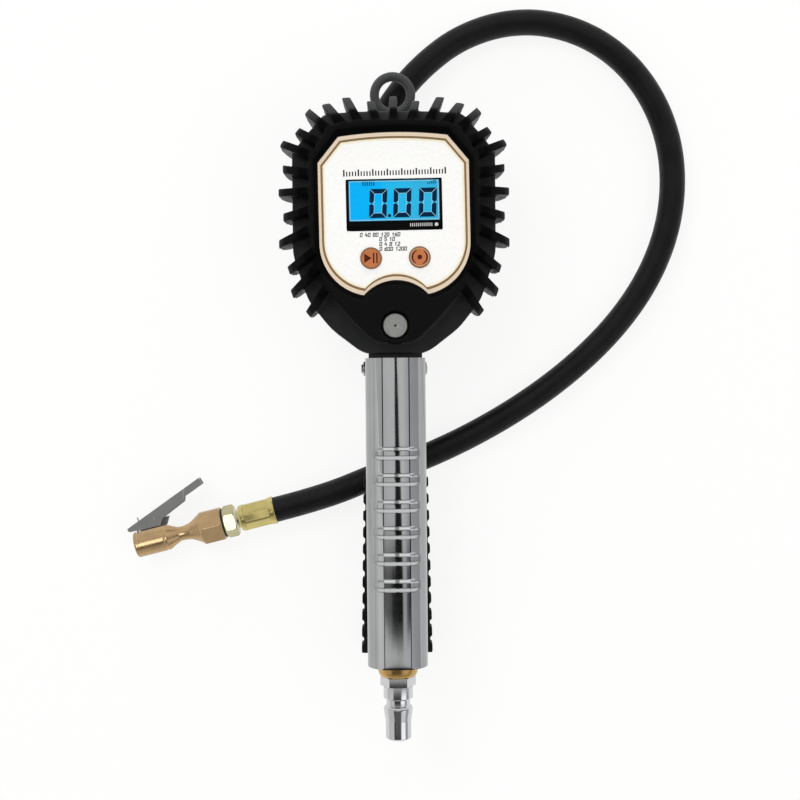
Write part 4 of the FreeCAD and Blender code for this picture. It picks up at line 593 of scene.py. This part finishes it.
def groove_at(x, y):
    """Depth of the finger grooves at a place on the handle's front, and the painted shade they carry there.
    """
    middle = min(GROOVES, key=lambda g: abs(g - y))
    end = min(1.0, max(0.0, (GROOVE_REACH - abs(x)) / GROOVE_TAPER))
    end = end * end * (3 - 2 * end)
    narrow = GROOVE_NARROW + (1 - GROOVE_NARROW) * end
    upper = y > middle
    inside = GROOVE_HALF * narrow - abs(y - middle)
    # Painted shade: a thin dark line just outside each groove's lower edge.
    if inside <= 0:
        return 0.0, 0.0 if upper else 0.4 * end * bell(inside + 0.2, 0.16)
    slope = (UPPER_SLOPE if upper else LOWER_SLOPE) * narrow
    depth = GROOVE_DEPTH * end * (0.5 - 0.5 * math.cos(math.pi * min(1.0, inside / slope)))
    # Painted shade: a dark line where each groove's floor meets its lower slope.
    dark = 0.0 if upper else 0.6 * end * bell(inside - slope - 0.1, 0.2)
    # Painted reflection: the middle of each upper slope darkened, as the dark slot overhead would show in it.
    if upper and abs(x) < DARK_REFLECTION_HALF:
        dark = max(dark, 0.7 * (1.0 - (abs(x) / DARK_REFLECTION_HALF) ** 4))
    return depth, dark

def border_shade(x, y):
    """Painted shade on the front: along its lower end, in an arc 2 mm high, and down its sides."""
    end = 0.0
    if abs(x) < 7.2:
        height = 2.0 * math.sqrt(max(1e-6, 1.0 - (x / 7.2) ** 2))
        end = min(1.0, 1.6 * max(0.0, 1.0 - (y - Y_HANDLE) / height))
    side = 0.42 * min(1.0, max(0.0, (abs(x) - 8.0) / 3.0))
    return max(end, side)

def handle_front():
    rows, columns = front_rows(), front_columns()
    points, shades = [], []
    for y in rows:
        for x, z, out_x, out_z, crease in columns:
            depth, dark = groove_at(x, y)
            points.append(((x - depth * out_x) * MM, y * MM, (z - depth * out_z) * MM))
            on_slope = depth not in (0.0, GROOVE_DEPTH)
            # Painted shade at each point: the grooves' dark lines, the lower end and sides, and the creases.
            shades.append(max(dark, border_shade(x, y), crease * (0.3 if on_slope else 1.0)))
    count = len(columns)
    faces = [(r * count + c, (r + 1) * count + c, (r + 1) * count + c + 1, r * count + c + 1)
             for r in range(len(rows) - 1) for c in range(count - 1)]
    mesh = bpy.data.meshes.new("handle_front")
    mesh.from_pydata(points, [], faces)
    shade(mesh, shades)
    smooth(mesh)
    if mesh.polygons[0].normal.x > 0 or mesh.polygons[count // 2].normal.z < 0:
        mesh.flip_normals()
    linked("handle_front", mesh, "handle", "tool")

softened("handle", "handle", 0.25, drop=is_front)
handle_front()

# Chuck ferrule: a brass sleeve pressed onto the hose with eight flats

# Its sections: place along the chuck, radius, and how far the flats are pressed in there
FERRULE_STEPS = [
    (0.0, 6.1, 0), (0.0, 6.5, 0), (0.2, 6.65, 0), (0.7, 6.65, 0), (1.5, 6.5, 0), (2.4, 6.42, 0),
    (2.5, 6.4, 0.15), (2.7, 6.4, 0.85), (2.9, 6.4, 1), (8.0, 6.4, 1), (14.3, 6.35, 1), (14.5, 6.35, 0.85),
    (14.7, 6.35, 0.15), (14.8, 6.3, 0), (15.6, 6.25, 0), (16.3, 6.1, 0), (16.7, 5.9, 0), (17.0, 5.6, 0),
    (17.15, 5.2, 0), (17.2, 4.3, 0),
]
FERRULE_POINTS = 192
FLAT_R = 6.03
FLAT_HALF = 0.335      # half a flat's width, as an angle
FLAT_SHADE = 0.22

def chuck_point(t, r, angle):
    """A place on the chuck: t along from the hose's end, r from its axis; the angle starts at the top."""
    out = CHUCK_SIDE * (r * math.sin(angle)) + Vector((0, 0, r * math.cos(angle)))
    return (CHUCK_END + CHUCK_AXIS * t + out) * MM

def pressed_ferrule():
    count = FERRULE_POINTS
    points, shades = [], []
    for t, r, flat in FERRULE_STEPS:
        for i in range(count):
            angle = 2 * math.pi * i / count
            turn = (angle + math.pi / 8) % (math.pi / 4) - math.pi / 8
            pressed = min(r, FLAT_R / math.cos(turn))
            points.append(chuck_point(t, r + (pressed - r) * flat, angle))
            # Painted shade: dark lines along the borders of the flats and across the steps where they are
            # pressed in.
            on_step = 0.1 < flat < 0.9 and abs(turn) < FLAT_HALF
            border = 1.0 if on_step else bell(abs(turn) - FLAT_HALF, 0.03) * flat
            shades.append(FLAT_SHADE * border)
    faces = []
    for s in range(len(FERRULE_STEPS) - 1):
        for i in range(count):
            j = (i + 1) % count
            faces.append((s * count + i, s * count + j, (s + 1) * count + j, (s + 1) * count + i))
    faces.append(tuple((len(FERRULE_STEPS) - 1) * count + i for i in range(count)))
    mesh = bpy.data.meshes.new("pressed_ferrule")
    mesh.from_pydata(points, [], faces)
    smooth(mesh)
    mesh.polygons[-1].use_smooth = False
    shade(mesh, shades)
    flat_face = mesh.polygons[count * 8]
    out = Vector(flat_face.center) - CHUCK_END * MM
    out -= CHUCK_AXIS * out.dot(CHUCK_AXIS)
    if out.dot(flat_face.normal) < 0:
        mesh.flip_normals()
    piece = linked("pressed_ferrule", mesh, "ferrule_brass", "tool")
    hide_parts("chuck_ferrule")

pressed_ferrule()

# Outlines on the gauge face

FACE_TURN = math.radians(0.8)
FILM = 0.03            # thickness of the label's films

def turned(x, y):
    """A place on the gauge face, turned about the face's middle as the face is."""
    dx, dy = x, y - (Y_CHIN + FACE_Y)
    return (dx * math.cos(FACE_TURN) - dy * math.sin(FACE_TURN),
            Y_CHIN + FACE_Y + dx * math.sin(FACE_TURN) + dy * math.cos(FACE_TURN))

def around(cx, cy, r, angle):
    return (cx + r * math.cos(angle), cy + r * math.sin(angle))

def through(a, b, c, count):
    """Points along the arc from a by b to c, without the last."""
    ax, ay, bx, by, cx, cy = *a, *b, *c
    aa, bb, cc = ax * ax + ay * ay, bx * bx + by * by, cx * cx + cy * cy
    d = 2 * (ax * (by - cy) + bx * (cy - ay) + cx * (ay - by))
    ux = (aa * (by - cy) + bb * (cy - ay) + cc * (ay - by)) / d
    uy = (aa * (cx - bx) + bb * (ax - cx) + cc * (bx - ax)) / d
    start = math.atan2(ay - uy, ax - ux)
    middle = math.atan2(by - uy, bx - ux)
    full = 2 * math.pi
    sweep = (math.atan2(cy - uy, cx - ux) - start) % full
    if (middle - start) % full >= sweep:
        sweep -= full
    radius = math.hypot(ax - ux, ay - uy)
    return [around(ux, uy, radius, start + sweep * i / count) for i in range(count)]

def label_outline(inset, more=0.5):
    """The label's outline drawn in by an inset, with more at its top, corners and foot."""
    slant_x, slant_y = 0.773, 0.635
    top = Y_TOP - 12.5 - inset - more
    side = 33.2 - inset
    bevel = 10.61 - inset - 0.8 * more
    corner = (bevel - slant_y * (top - Y_TOP)) / slant_x
    chamfer = Y_TOP + (bevel - slant_x * side) / slant_y
    side_end = Y_CHIN + 49.7
    tip = (14.2 - 0.3 * inset - 0.1 * more, Y_CHIN + 25.8 + 1.15 * inset + 1.1 * more)
    notch = (0.0, Y_CHIN + 32.2 + inset + more)
    middle = (0.79 * side + 0.21 * tip[0] + 0.4 - 0.3 * more, side_end - 0.56 * (side_end - tip[1]))

    def flip(p):
        return (-p[0], p[1])

    points = through(tip, middle, (side, side_end), 32)
    points += [(side, side_end), (side, chamfer)]
    points += through((corner, top), (0.0, top + 1.6), (-corner, top), 12)
    points += [(-corner, top), (-side, chamfer)]
    points += through((-side, side_end), flip(middle), flip(tip), 32)
    points += through(flip(tip), notch, tip, 24)
    return points

def disc(cx, cy, r, count=40):
    return [around(cx, cy, r, 2 * math.pi * i / count) for i in range(count)]

def stroke(a, b, width):
    """A straight stroke from a to b with blunt ends, as an outline."""
    dx, dy = b[0] - a[0], b[1] - a[1]
    size = math.hypot(dx, dy)
    ux, uy = dx / size * width / 2, dy / size * width / 2
    return [(a[0] - ux + uy, a[1] - uy - ux), (b[0] + ux + uy, b[1] + uy - ux),
            (b[0] + ux - uy, b[1] + uy + ux), (a[0] - ux - uy, a[1] - uy + ux)]

def band(cx, cy, r, width, start, stop, count=24):
    """A curved band round a centre from one angle to another, thinner towards its ends."""
    outer, inner = [], []
    for i in range(count + 1):
        angle = math.radians(start + (stop - start) * i / count)
        half = width / 2 * (0.45 + 0.55 * math.sin(math.pi * i / count))
        outer.append(around(cx, cy, r + half, angle))
        inner.append(around(cx, cy, r - half, angle))
    return outer + inner[::-1]

def ring(cx, cy, r0, r1, count=48):
    """A ring cut into two halves, so that each is a plain outline."""
    halves = []
    for start in (0.0, math.pi):
        angles = [start + math.pi * i / count for i in range(count + 1)]
        outer = [around(cx, cy, r1, angle) for angle in angles]
        inner = [around(cx, cy, r0, angle) for angle in angles]
        halves.append(outer + inner[::-1])
    return halves

# Print on the gauge face

def corners(bm, places, z):
    return [bm.verts.new((x * MM, y * MM, z * MM)) for x, y in places]

def walls(bm, low, high):
    """The faces between an outline's lower and upper corners."""
    for i in range(len(low)):
        j = (i + 1) % len(low)
        bm.faces.new((low[i], low[j], high[j], high[i]))

def whole_mesh(bm, name):
    bmesh.ops.recalc_face_normals(bm, faces=bm.faces)
    mesh = bpy.data.meshes.new(name)
    bm.to_mesh(mesh)
    bm.free()
    return mesh

def film(name, outlines, material):
    """A thin film on the label: the first outline is its edge, the others are holes in it."""
    loops = [[turned(x, y) for x, y in outline] for outline in outlines]
    bm = bmesh.new()
    low = [corners(bm, loop, LABEL_Z) for loop in loops]
    high = [corners(bm, loop, LABEL_Z + FILM) for loop in loops]
    flat_low = [v for verts in low for v in verts]
    flat_high = [v for verts in high for v in verts]
    for a, b, c in tessellate_polygon([[Vector((x, y, 0)) for x, y in loop] for loop in loops]):
        bm.faces.new((flat_high[a], flat_high[b], flat_high[c]))
        bm.faces.new((flat_low[c], flat_low[b], flat_low[a]))
    for lower, upper in zip(low, high):
        walls(bm, lower, upper)
    linked(name, whole_mesh(bm, name), material, "tool")

def plates(name, outlines, material, z, body="tool", thick=0.02):
    """Several flat outlines on the face as one piece, given from the chin."""
    bm = bmesh.new()
    for outline in outlines:
        places = [turned(x, Y_CHIN + y) for x, y in outline]
        low, high = corners(bm, places, z), corners(bm, places, z + thick)
        bm.faces.new(high)
        bm.faces.new(low[::-1])
        walls(bm, low, high)
    linked(name, whole_mesh(bm, name), material, body)

# Label: cream edge, gold line, a warm glow inside it in three steps, and the white field with its holes
GLOW_STEPS = [(2.1, 1.0), (2.5, 0.62), (2.95, 0.3)]
GLOW_WIDTH = 0.45
WHITE_AND_WARM = ((0.95, 0.955), (0.945, 0.88), (0.925, 0.67))
DISPLAY_HOLE = (19.1, 9.3, 2.0)
KEY_HOLE_R = 4.85

def print_label():
    film("label_line", [label_outline(1.15), label_outline(2.1)], "gold")
    for step, (inset, warm) in enumerate(GLOW_STEPS):
        name = "glow_%d" % step
        colour = tuple(white + (glow - white) * warm for white, glow in WHITE_AND_WARM)
        MATERIALS[name] = printed("label_" + name, colour)
        film("label_" + name, [label_outline(inset), label_outline(inset + GLOW_WIDTH)], name)
    reach_x, reach_y, corner_r = DISPLAY_HOLE
    display_hole = []
    for quarter, (side_x, side_y) in enumerate(((1, 1), (-1, 1), (-1, -1), (1, -1))):
        for i in range(7):
            angle = math.radians(90 * quarter + 15 * i)
            x, y = side_x * reach_x, Y_CHIN + DISPLAY_Y + side_y * reach_y
            display_hole.append(around(x, y, corner_r, angle))
    key_holes = [disc(x, Y_CHIN + KEY_Y, KEY_HOLE_R) for x in (-KEY_X, KEY_X)]
    film("label_white", [label_outline(3.4), display_hole, *key_holes], "white")

# Scale over the display: 36 ticks, each fifth one longer
TICK_START = -21.8
TICK_PITCH = 1.274
TICK_FOOT = 78.0
TICK_LEAN = 0.0095

def print_scale():
    ticks = []
    for i in range(36):
        x = TICK_START + TICK_PITCH * i
        base = TICK_FOOT + TICK_LEAN * (x - TICK_START)
        tall, wide = (2.9, 0.66) if i % 5 == 0 else (2.1, 0.55)
        ticks.append(stroke((x, base + wide / 2), (x, base + tall - wide / 2), wide))
    plates("scale_ticks", ticks, "ink", LABEL_Z + FILM)

# Plain numbers under the display: each digit's lines on a grid of 1 by 2, and where each row starts
DIGITS = {
    "0": [[(0, 0), (1, 0), (1, 2), (0, 2), (0, 0)]],
    "1": [[(0.2, 1.5), (0.6, 2), (0.6, 0)]],
    "2": [[(0, 2), (1, 2), (1, 1), (0, 0), (1, 0)]],
    "4": [[(0.2, 2), (0, 0.8), (1, 0.8)], [(0.8, 1.4), (0.8, 0)]],
    "5": [[(1, 2), (0, 2), (0, 1.1), (1, 1.1), (1, 0), (0, 0)]],
    "6": [[(1, 2), (0, 1.4), (0, 0), (1, 0), (1, 1), (0, 1)]],
    "8": [[(0, 0), (1, 0), (1, 2), (0, 2), (0, 0)], [(0, 1), (1, 1)]],
}
NUMBER_ROWS = [
    (-15.3, 51.5, ("0", "40", "80", "120", "160")), (-6.8, 49.5, ("0", "5", "10")),
    (-6.8, 47.35, ("0", "4", "8", "12")), (-6.8, 45.2, ("0", "600", "1200")),
]
DIGIT_WIDE = 0.8        # the grid's steps across and up
DIGIT_HIGH = 0.72
DIGIT_LEAN = 0.1
DIGIT_STROKE = 0.33
DIGIT_PITCH = 1.3
NUMBER_GAP = 0.9

def digit_strokes(digit, x, y):
    strokes = []
    for line in DIGITS[digit]:
        spots = [(x + DIGIT_WIDE * px + DIGIT_LEAN * py, y + DIGIT_HIGH * py) for px, py in line]
        strokes += [stroke(p, q, DIGIT_STROKE) for p, q in zip(spots, spots[1:])]
    return strokes

def print_numbers():
    numbers = []
    for x, y, words in NUMBER_ROWS:
        for word in words:
            for digit in word:
                numbers += digit_strokes(digit, x, y)
                x += DIGIT_PITCH
            x += NUMBER_GAP
    plates("scale_numbers", numbers, "ink", LABEL_Z + FILM)

# Display: three figures in mitred strokes, a point, level marks, a pale line inside and marks on the bar
GLASS_Z = 52.3
BAR_Z = 52.8
FIGURE = (7.75, 12.75)
FIGURE_PLACES = [(-11.25, 59.6), (-0.6, 59.7), (10.6, 59.75)]
STROKE = 2.05
GLASS_EDGE = (-19.95, 19.95, 58.3, 76.15)   # left, right, foot and head
EDGE_LINE = (0.25, 0.62)                    # how far the line's two sides are in from it

def box(left, right, foot, head):
    return [(left, foot), (right, foot), (right, head), (left, head)]

def uprights(start, pitch, count, foot, head, width, rise=0.0):
    """A row of upright strokes, each head higher than the last by a rise."""
    places = [start + pitch * i for i in range(count)]
    return [stroke((x, foot), (x, head + rise * i), width) for i, x in enumerate(places)]

def leaning(outlines, place):
    """Outlines moved to a place and leant to the right."""
    return [[(place[0] + x + 0.05 * y, place[1] + y) for x, y in outline] for outline in outlines]

def zero_strokes():
    """The six strokes of a zero, with mitred ends and gaps between them."""
    w, h = FIGURE
    t, g, m = STROKE, 0.16, h / 2
    upper = [(g, h), (w - g, h), (w - t - g, h - t), (t + g, h - t)]
    lower = [(w - g, 0), (g, 0), (t + g, t), (w - t - g, t)]
    tall = [(0, h - g), (0, m + 0.55), (0.45 * t, m + 0.16), (0.7 * t, m + 0.3), (t, m + 0.95),
            (t, h - t - g)]
    sides = [tall, [(w - x, y) for x, y in tall]]
    return [upper, lower] + sides + [[(x, h - y) for x, y in side] for side in sides]

def zero_backing():
    """Pale bars behind a zero's strokes, which show in the gaps."""
    w, h = FIGURE
    t = STROKE + 0.2
    low, high = h / 2 - 0.3, h / 2 + 0.3
    bars = [box(0, w, 0, t), box(0, w, h - t, h)]
    for x in (0, w - t):
        bars += [box(x, x + t, t, low), box(x, x + t, high, h - t)]
    return bars

def print_display():
    figures, backing = [], []
    for place in FIGURE_PLACES:
        figures += leaning(zero_strokes(), place)
        backing += leaning(zero_backing(), place)
    figures.append(disc(-2.15, 60.55, 0.74, 20))
    figures += uprights(-13.5, 0.95, 6, 73.95, 75.35, 0.42)
    figures += uprights(15.0, 0.8, 5, 74.3, 74.7, 0.36, rise=0.28)
    plates("screen_backing", backing, "screen_line", GLASS_Z, thick=0.01)
    plates("screen_figures", figures, "screen_ink", GLASS_Z + 0.012, thick=0.01)
    left, right, foot, head = GLASS_EDGE
    outer, inner = [box(left + inset, right - inset, foot + inset, head - inset) for inset in EDGE_LINE]
    edge_line = [[outer[i], outer[(i + 1) % 4], inner[(i + 1) % 4], inner[i]] for i in range(4)]
    plates("screen_edge", edge_line, "screen_line", GLASS_Z, thick=0.012)
    marks = uprights(7.0, 0.85, 12, 55.75, 56.85, 0.36) + [disc(18.4, 56.3, 0.8, 20)]
    plates("bar_marks", marks, "bar_mark", BAR_Z)

# Keys: rims and signs, which move with the keys
KEY_Z = 53.4
KEY_RIM = (4.05, 4.5)
KEY_EDGE = (3.82, 4.05)

def print_keys():
    for side, x in (("left", -KEY_X), ("right", KEY_X)):
        rim = ring(x, KEY_Y, *KEY_RIM)
        plates("key_rim_" + side, rim, "key_rim", KEY_Z, side + "_key")
    edge = ring(KEY_X, KEY_Y, *KEY_EDGE)
    plates("key_edge_right", edge, "key_edge", KEY_Z, "right_key")
    arrow = [(-13.7, 44.1), (-13.7, 39.85), (-10.5, KEY_Y)]
    left_signs = [arrow] + uprights(-9.55, 1.4, 2, 40.0, 43.95, 0.62)
    plates("key_signs_left", left_signs, "key_ink", KEY_Z, "left_key")
    bands = [band(KEY_X, KEY_Y, 3.25, 0.75, start, start + 124) for start in (112, -68)]
    right_signs = [disc(KEY_X, KEY_Y, 1.05, 24)] + bands
    plates("key_signs_right", right_signs, "key_ink", KEY_Z, "right_key")

FRAME_FRONT_Z = 52.5
FRAME_CORNER = (20.3, 10.6)   # the corners' upright edges lie further out than this

def display_frame():
    """The display's frame with rounded corners: its four upright edges are rounded more than the others."""
    mesh = own_copy("lcd_frame")
    smooth(mesh)
    weights = mesh.attributes.new("bevel_weight_edge", "FLOAT", "EDGE")
    values = []
    for edge in mesh.edges:
        a, b = (mesh.vertices[i].co / MM for i in edge.vertices)
        far = abs(a.x) > FRAME_CORNER[0] and abs(a.y - Y_CHIN - DISPLAY_Y) > FRAME_CORNER[1]
        upright = math.hypot(a.x - b.x, a.y - b.y) < 0.05
        front = max(a.z, b.z) > FRAME_FRONT_Z
        values.append((1.0 if upright and far else 0.06) if front else 0.0)
    weights.data.foreach_set("value", values)
    piece = linked("lcd_frame_skin", mesh, "frame", "tool")
    bevel = piece.modifiers.new("corners", "BEVEL")
    bevel.width = 2.0 * MM
    bevel.segments = 5
    bevel.limit_method = "WEIGHT"
    bevel.use_clamp_overlap = False
    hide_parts("lcd_frame")

print_label()
print_scale()
print_numbers()
print_display()
print_keys()
display_frame()

# Lights, world and floor

FLOOR_HALF = 4.0
FLOOR_Z = -0.0002
IN_DEGREES = 57.2958

def make_floor():
    """White ground that glows where the camera or a mirror sees it, so that its shadows stay pale."""
    places = [(x * FLOOR_HALF, y * FLOOR_HALF, 0) for x, y in ((-1, -1), (1, -1), (1, 1), (-1, 1))]
    mesh = bpy.data.meshes.new("floor")
    mesh.from_pydata(places, [], [(0, 1, 2, 3)])
    floor = bpy.data.objects.new("floor", mesh)
    floor.location.z = FLOOR_Z
    bpy.context.scene.collection.objects.link(floor)
    mat = bpy.data.materials.new("floor_white")
    mat.use_nodes = True
    mat.node_tree.nodes.clear()
    n = Nodes(mat.node_tree)
    plain = n.add("ShaderNodeBsdfDiffuse", {"Color": (0.95, 0.95, 0.945)})
    glow = n.glow("ShaderNodeEmission", (1.0, 1.0, 0.995), 1.0)
    seen = n.add("ShaderNodeLightPath", {}).outputs
    direct = n.maths("MAXIMUM", seen["Is Camera Ray"], seen["Is Transmission Ray"])
    mirrored = n.maths("MULTIPLY", seen["Is Glossy Ray"], 0.75)
    share = n.maths("MAXIMUM", n.maths("MULTIPLY", direct, 0.86), mirrored)
    n.add("ShaderNodeOutputMaterial", {"Surface": n.either(share, plain.outputs[0], glow)})
    mesh.materials.append(mat)

# What metal mirrors, by the direction it is seen in: an angle across, in degrees from straight up, and a
# level. The lists follow one another along the tool, towards the inlet.
OVERHEAD = [
    (-90, 0.44), (-75, 0.52), (-62, 0.54), (-41, 0.50), (-37, 0.04), (-19.5, 0.04), (-17, 0.60), (-9, 0.66),
    (5, 0.66), (9, 0.70), (12, 0.62), (17, 0.50), (19.5, 0.03), (37, 0.03), (41, 0.46), (60, 0.42),
    (75, 0.45), (90, 0.48)]
DARK_PATCH = [
    (-90, 0.66), (-64, 0.76), (-41, 0.68), (-37, 0.45), (-18.5, 0.5), (-17, 0.09), (-13, 0.14), (-8, 0.1),
    (-5, 0.015), (7.2, 0.01), (8.6, 0.46), (11.8, 0.46), (13.5, 0.16), (16, 0.06), (37, 0.03), (41, 0.32),
    (60, 0.38), (75, 0.44), (90, 0.48)]
TOWARDS_INLET = [
    (-90, 0.72), (-64, 0.78), (-41, 0.70), (-37, 0.55), (-19, 0.55), (-17, 0.66), (-3, 0.62), (3, 0.57),
    (12, 0.66), (17, 0.64), (19, 0.48), (37, 0.48), (41, 0.52), (60, 0.42), (75, 0.48), (90, 0.56)]
INLET_FLATS = [(-90, 0.66), (-40, 0.66), (-20, 0.32), (24, 0.32), (40, 0.6), (90, 0.62)]
BEYOND_INLET = [
    (-90, 0.64), (-75, 0.74), (-60, 0.80), (-42, 0.74), (-38, 0.4), (-36, 0.055), (16, 0.07), (20, 0.14),
    (26, 0.8), (29, 1.5), (62, 1.5), (67, 0.42), (80, 0.42), (90, 0.50)]
MILD_INLET = [
    (-90, 0.7), (-42, 0.7), (-38, 0.4), (-36, 0.14), (16, 0.14), (20, 0.25), (26, 0.7), (29, 0.9),
    (62, 0.9), (67, 0.45), (90, 0.5)]

# The dark slot overhead, by the direction along the tool: its middle and half width, in steps of 5 degrees
SLOT_MIDDLE = [(-0.25, 0.42), (-0.12, 0.5), (-0.062, 0.46), (-0.05, 0.32), (0.0, 0.22), (0.014, 0.16)]
SLOT_HALF = [
    (-0.25, 0.9), (-0.12, 0.85), (-0.062, 0.62), (-0.05, 0.5), (-0.02, 0.46), (0.006, 0.3), (0.014, 0.32)]

# Levels beyond the two ends of the tool, by the direction along it
ENDS = [
    (-1.0, 0.75), (-0.94, 0.72), (-0.6, 0.3), (0.05, 0.6), (0.33, 0.72), (0.5, 0.9), (0.75, 0.9), (1.0, 0.8)]

def make_world():
    """Soft even light, and for mirroring metal a studio with a dark slot overhead and pale walls."""
    world = bpy.data.worlds.new("studio")
    bpy.context.scene.world = world
    world.use_nodes = True
    world.node_tree.nodes.clear()
    n = Nodes(world.node_tree)

    def between(value, low, high, start, stop):
        return n.spread(value, start, stop, low, high, interpolation_type="SMOOTHSTEP")

    def levels_by(value, low, high, stops):
        """Levels by a value, halved because a ramp's colours end at 1."""
        place = n.spread(value, 0.0, 1.0, low, high)
        return n.ramp(place, [((at - low) / (high - low), grey(level / 2)) for at, level in stops])

    direction = n.add("ShaderNodeTexCoord", {}).outputs["Generated"]
    parts = n.parts(direction)
    along = parts["Y"]
    across = n.maths("MULTIPLY", n.maths("ARCTAN2", parts["X"], parts["Z"]), IN_DEGREES)
    fine = n.stretched(direction, (30.0, 300.0, 1.0))
    speckle = n.add("ShaderNodeTexNoise", {"Scale": 1.0, "Detail": 4.0, "Vector": fine})
    uneven = n.maths("MULTIPLY", n.maths("SUBTRACT", speckle.outputs["Fac"], 0.5), 0.03)
    aside = n.maths("SUBTRACT", across, 3.0)
    bow = n.maths("MULTIPLY", n.maths("MULTIPLY", aside, aside), 0.00004)
    rough_along = n.maths("SUBTRACT", n.maths("ADD", along, uneven), bow)

    middle = levels_by(along, -0.25, 0.05, SLOT_MIDDLE)
    half = levels_by(along, -0.25, 0.05, SLOT_HALF)
    aside = n.maths("ABSOLUTE", n.maths("SUBTRACT", across, n.maths("MULTIPLY", middle, 10.0)))
    slot = between(n.maths("DIVIDE", aside, n.maths("MULTIPLY", half, 10.0)), 0.85, 1.25, 1.0, 0.0)
    levels = n.blend(slot, levels_by(across, -90.0, 90.0, OVERHEAD), (0.008, 0.008, 0.01))
    for value, low, high, stops in (
            (along, -0.155, -0.1, DARK_PATCH), (rough_along, -0.212, -0.192, TOWARDS_INLET),
            (along, -0.2246, -0.2226, INLET_FLATS), (along, -0.2346, -0.2334, BEYOND_INLET),
            (along, -0.29, -0.28, MILD_INLET)):
        levels = n.blend(between(value, low, high, 1.0, 0.0), levels, levels_by(across, -90.0, 90.0, stops))
    cool = n.blend(1.0, levels, (0.96, 0.98, 1.02), "MULTIPLY")
    levels = n.blend(between(across, 10.0, 40.0, 0.0, 1.0), levels, cool)
    outside = n.maths("MAXIMUM", between(along, 0.05, 0.16, 0.0, 1.0), between(along, -0.68, -0.62, 1.0, 0.0))
    levels = n.blend(outside, levels, levels_by(along, -1.0, 1.0, ENDS))

    white = (1.0, 1.0, 1.0)
    seen = n.add("ShaderNodeLightPath", {}).outputs
    soft = n.glow("ShaderNodeBackground", white, 0.66)
    lit = n.either(seen["Is Glossy Ray"], soft, n.glow("ShaderNodeBackground", levels, 2.0))
    direct = n.maths("MAXIMUM", seen["Is Camera Ray"], seen["Is Transmission Ray"])
    plain = n.glow("ShaderNodeBackground", white, 1.0)
    n.add("ShaderNodeOutputWorld", {"Surface": n.either(direct, lit, plain)})

def area_light(name, shape, place, power):
    data = bpy.data.lights.new(name, "AREA")
    data.shape = shape
    data.energy = power
    lamp = bpy.data.objects.new(name, data)
    lamp.location = place
    bpy.context.scene.collection.objects.link(lamp)
    return lamp

def make_lamp(name, place, size, power):
    """A soft lamp that shines at the tool and isn't mirrored."""
    lamp = area_light(name, "SQUARE", place, power)
    lamp.data.size = size
    lamp.rotation_euler = (Vector(place) * -1).to_track_quat("-Z", "Y").to_euler()
    lamp.visible_glossy = False

def soft_box(name, place, turn, size, level, pieces):
    """A soft box that only some pieces mirror."""
    lamp = area_light(name, "RECTANGLE", place, level * math.pi * size[0] * size[1])
    lamp.data.size, lamp.data.size_y = size
    lamp.rotation_euler = turn
    lamp.visible_camera = False
    lit = bpy.data.collections.new(name + "_lit")
    for piece in pieces:
        lit.objects.link(bpy.data.objects[piece])
    lamp.light_linking.receiver_collection = lit

# The chuck's two soft boxes hang in the same place over it, in line with it
OVER_CHUCK = ((-0.135, -0.090, 0.265), (0.0, 0.0, math.atan2(CHUCK_AXIS.y, CHUCK_AXIS.x)), (0.12, 0.10))
BELOW_INLET = ((0.0, -0.407, 0.430), (math.radians(43.0), 0.0, 0.0), (0.6, 0.404))

make_floor()
make_world()
make_lamp("key", (-0.9, 0.9, 1.6), 0.9, 13.0)
make_lamp("fill", (1.0, -0.5, 1.5), 1.2, 5.0)
make_lamp("rim", (-0.1, 1.9, 0.45), 0.5, 7.0)
soft_box("chuck_box", *OVER_CHUCK, 3.6, ["chuck_body_skin", "swivel_nut_skin"])
soft_box("ferrule_box", *OVER_CHUCK, 0.6, ["pressed_ferrule"])
soft_box("groove_box", *BELOW_INLET, 0.55, ["handle_front"])

# The hose is one cord from the outlet to the chuck; the handle's chrome doesn't mirror it or the chuck

CHUCK_PIECES = [
    "pressed_ferrule", "swivel_nut_skin", "chuck_body_skin", "clip_post_skin", "clip_lever_skin", "hose_ends",
    "outlet_ferrule", "chuck_stem", "chuck_washer", "chuck_pin", "chuck_seal", "clip_pin", "clip_spring"]
for piece in ["hose_tube"] + CHUCK_PIECES:
    bpy.data.objects[piece].visible_glossy = False

scene = bpy.context.scene
scene.view_settings.view_transform = "Standard"
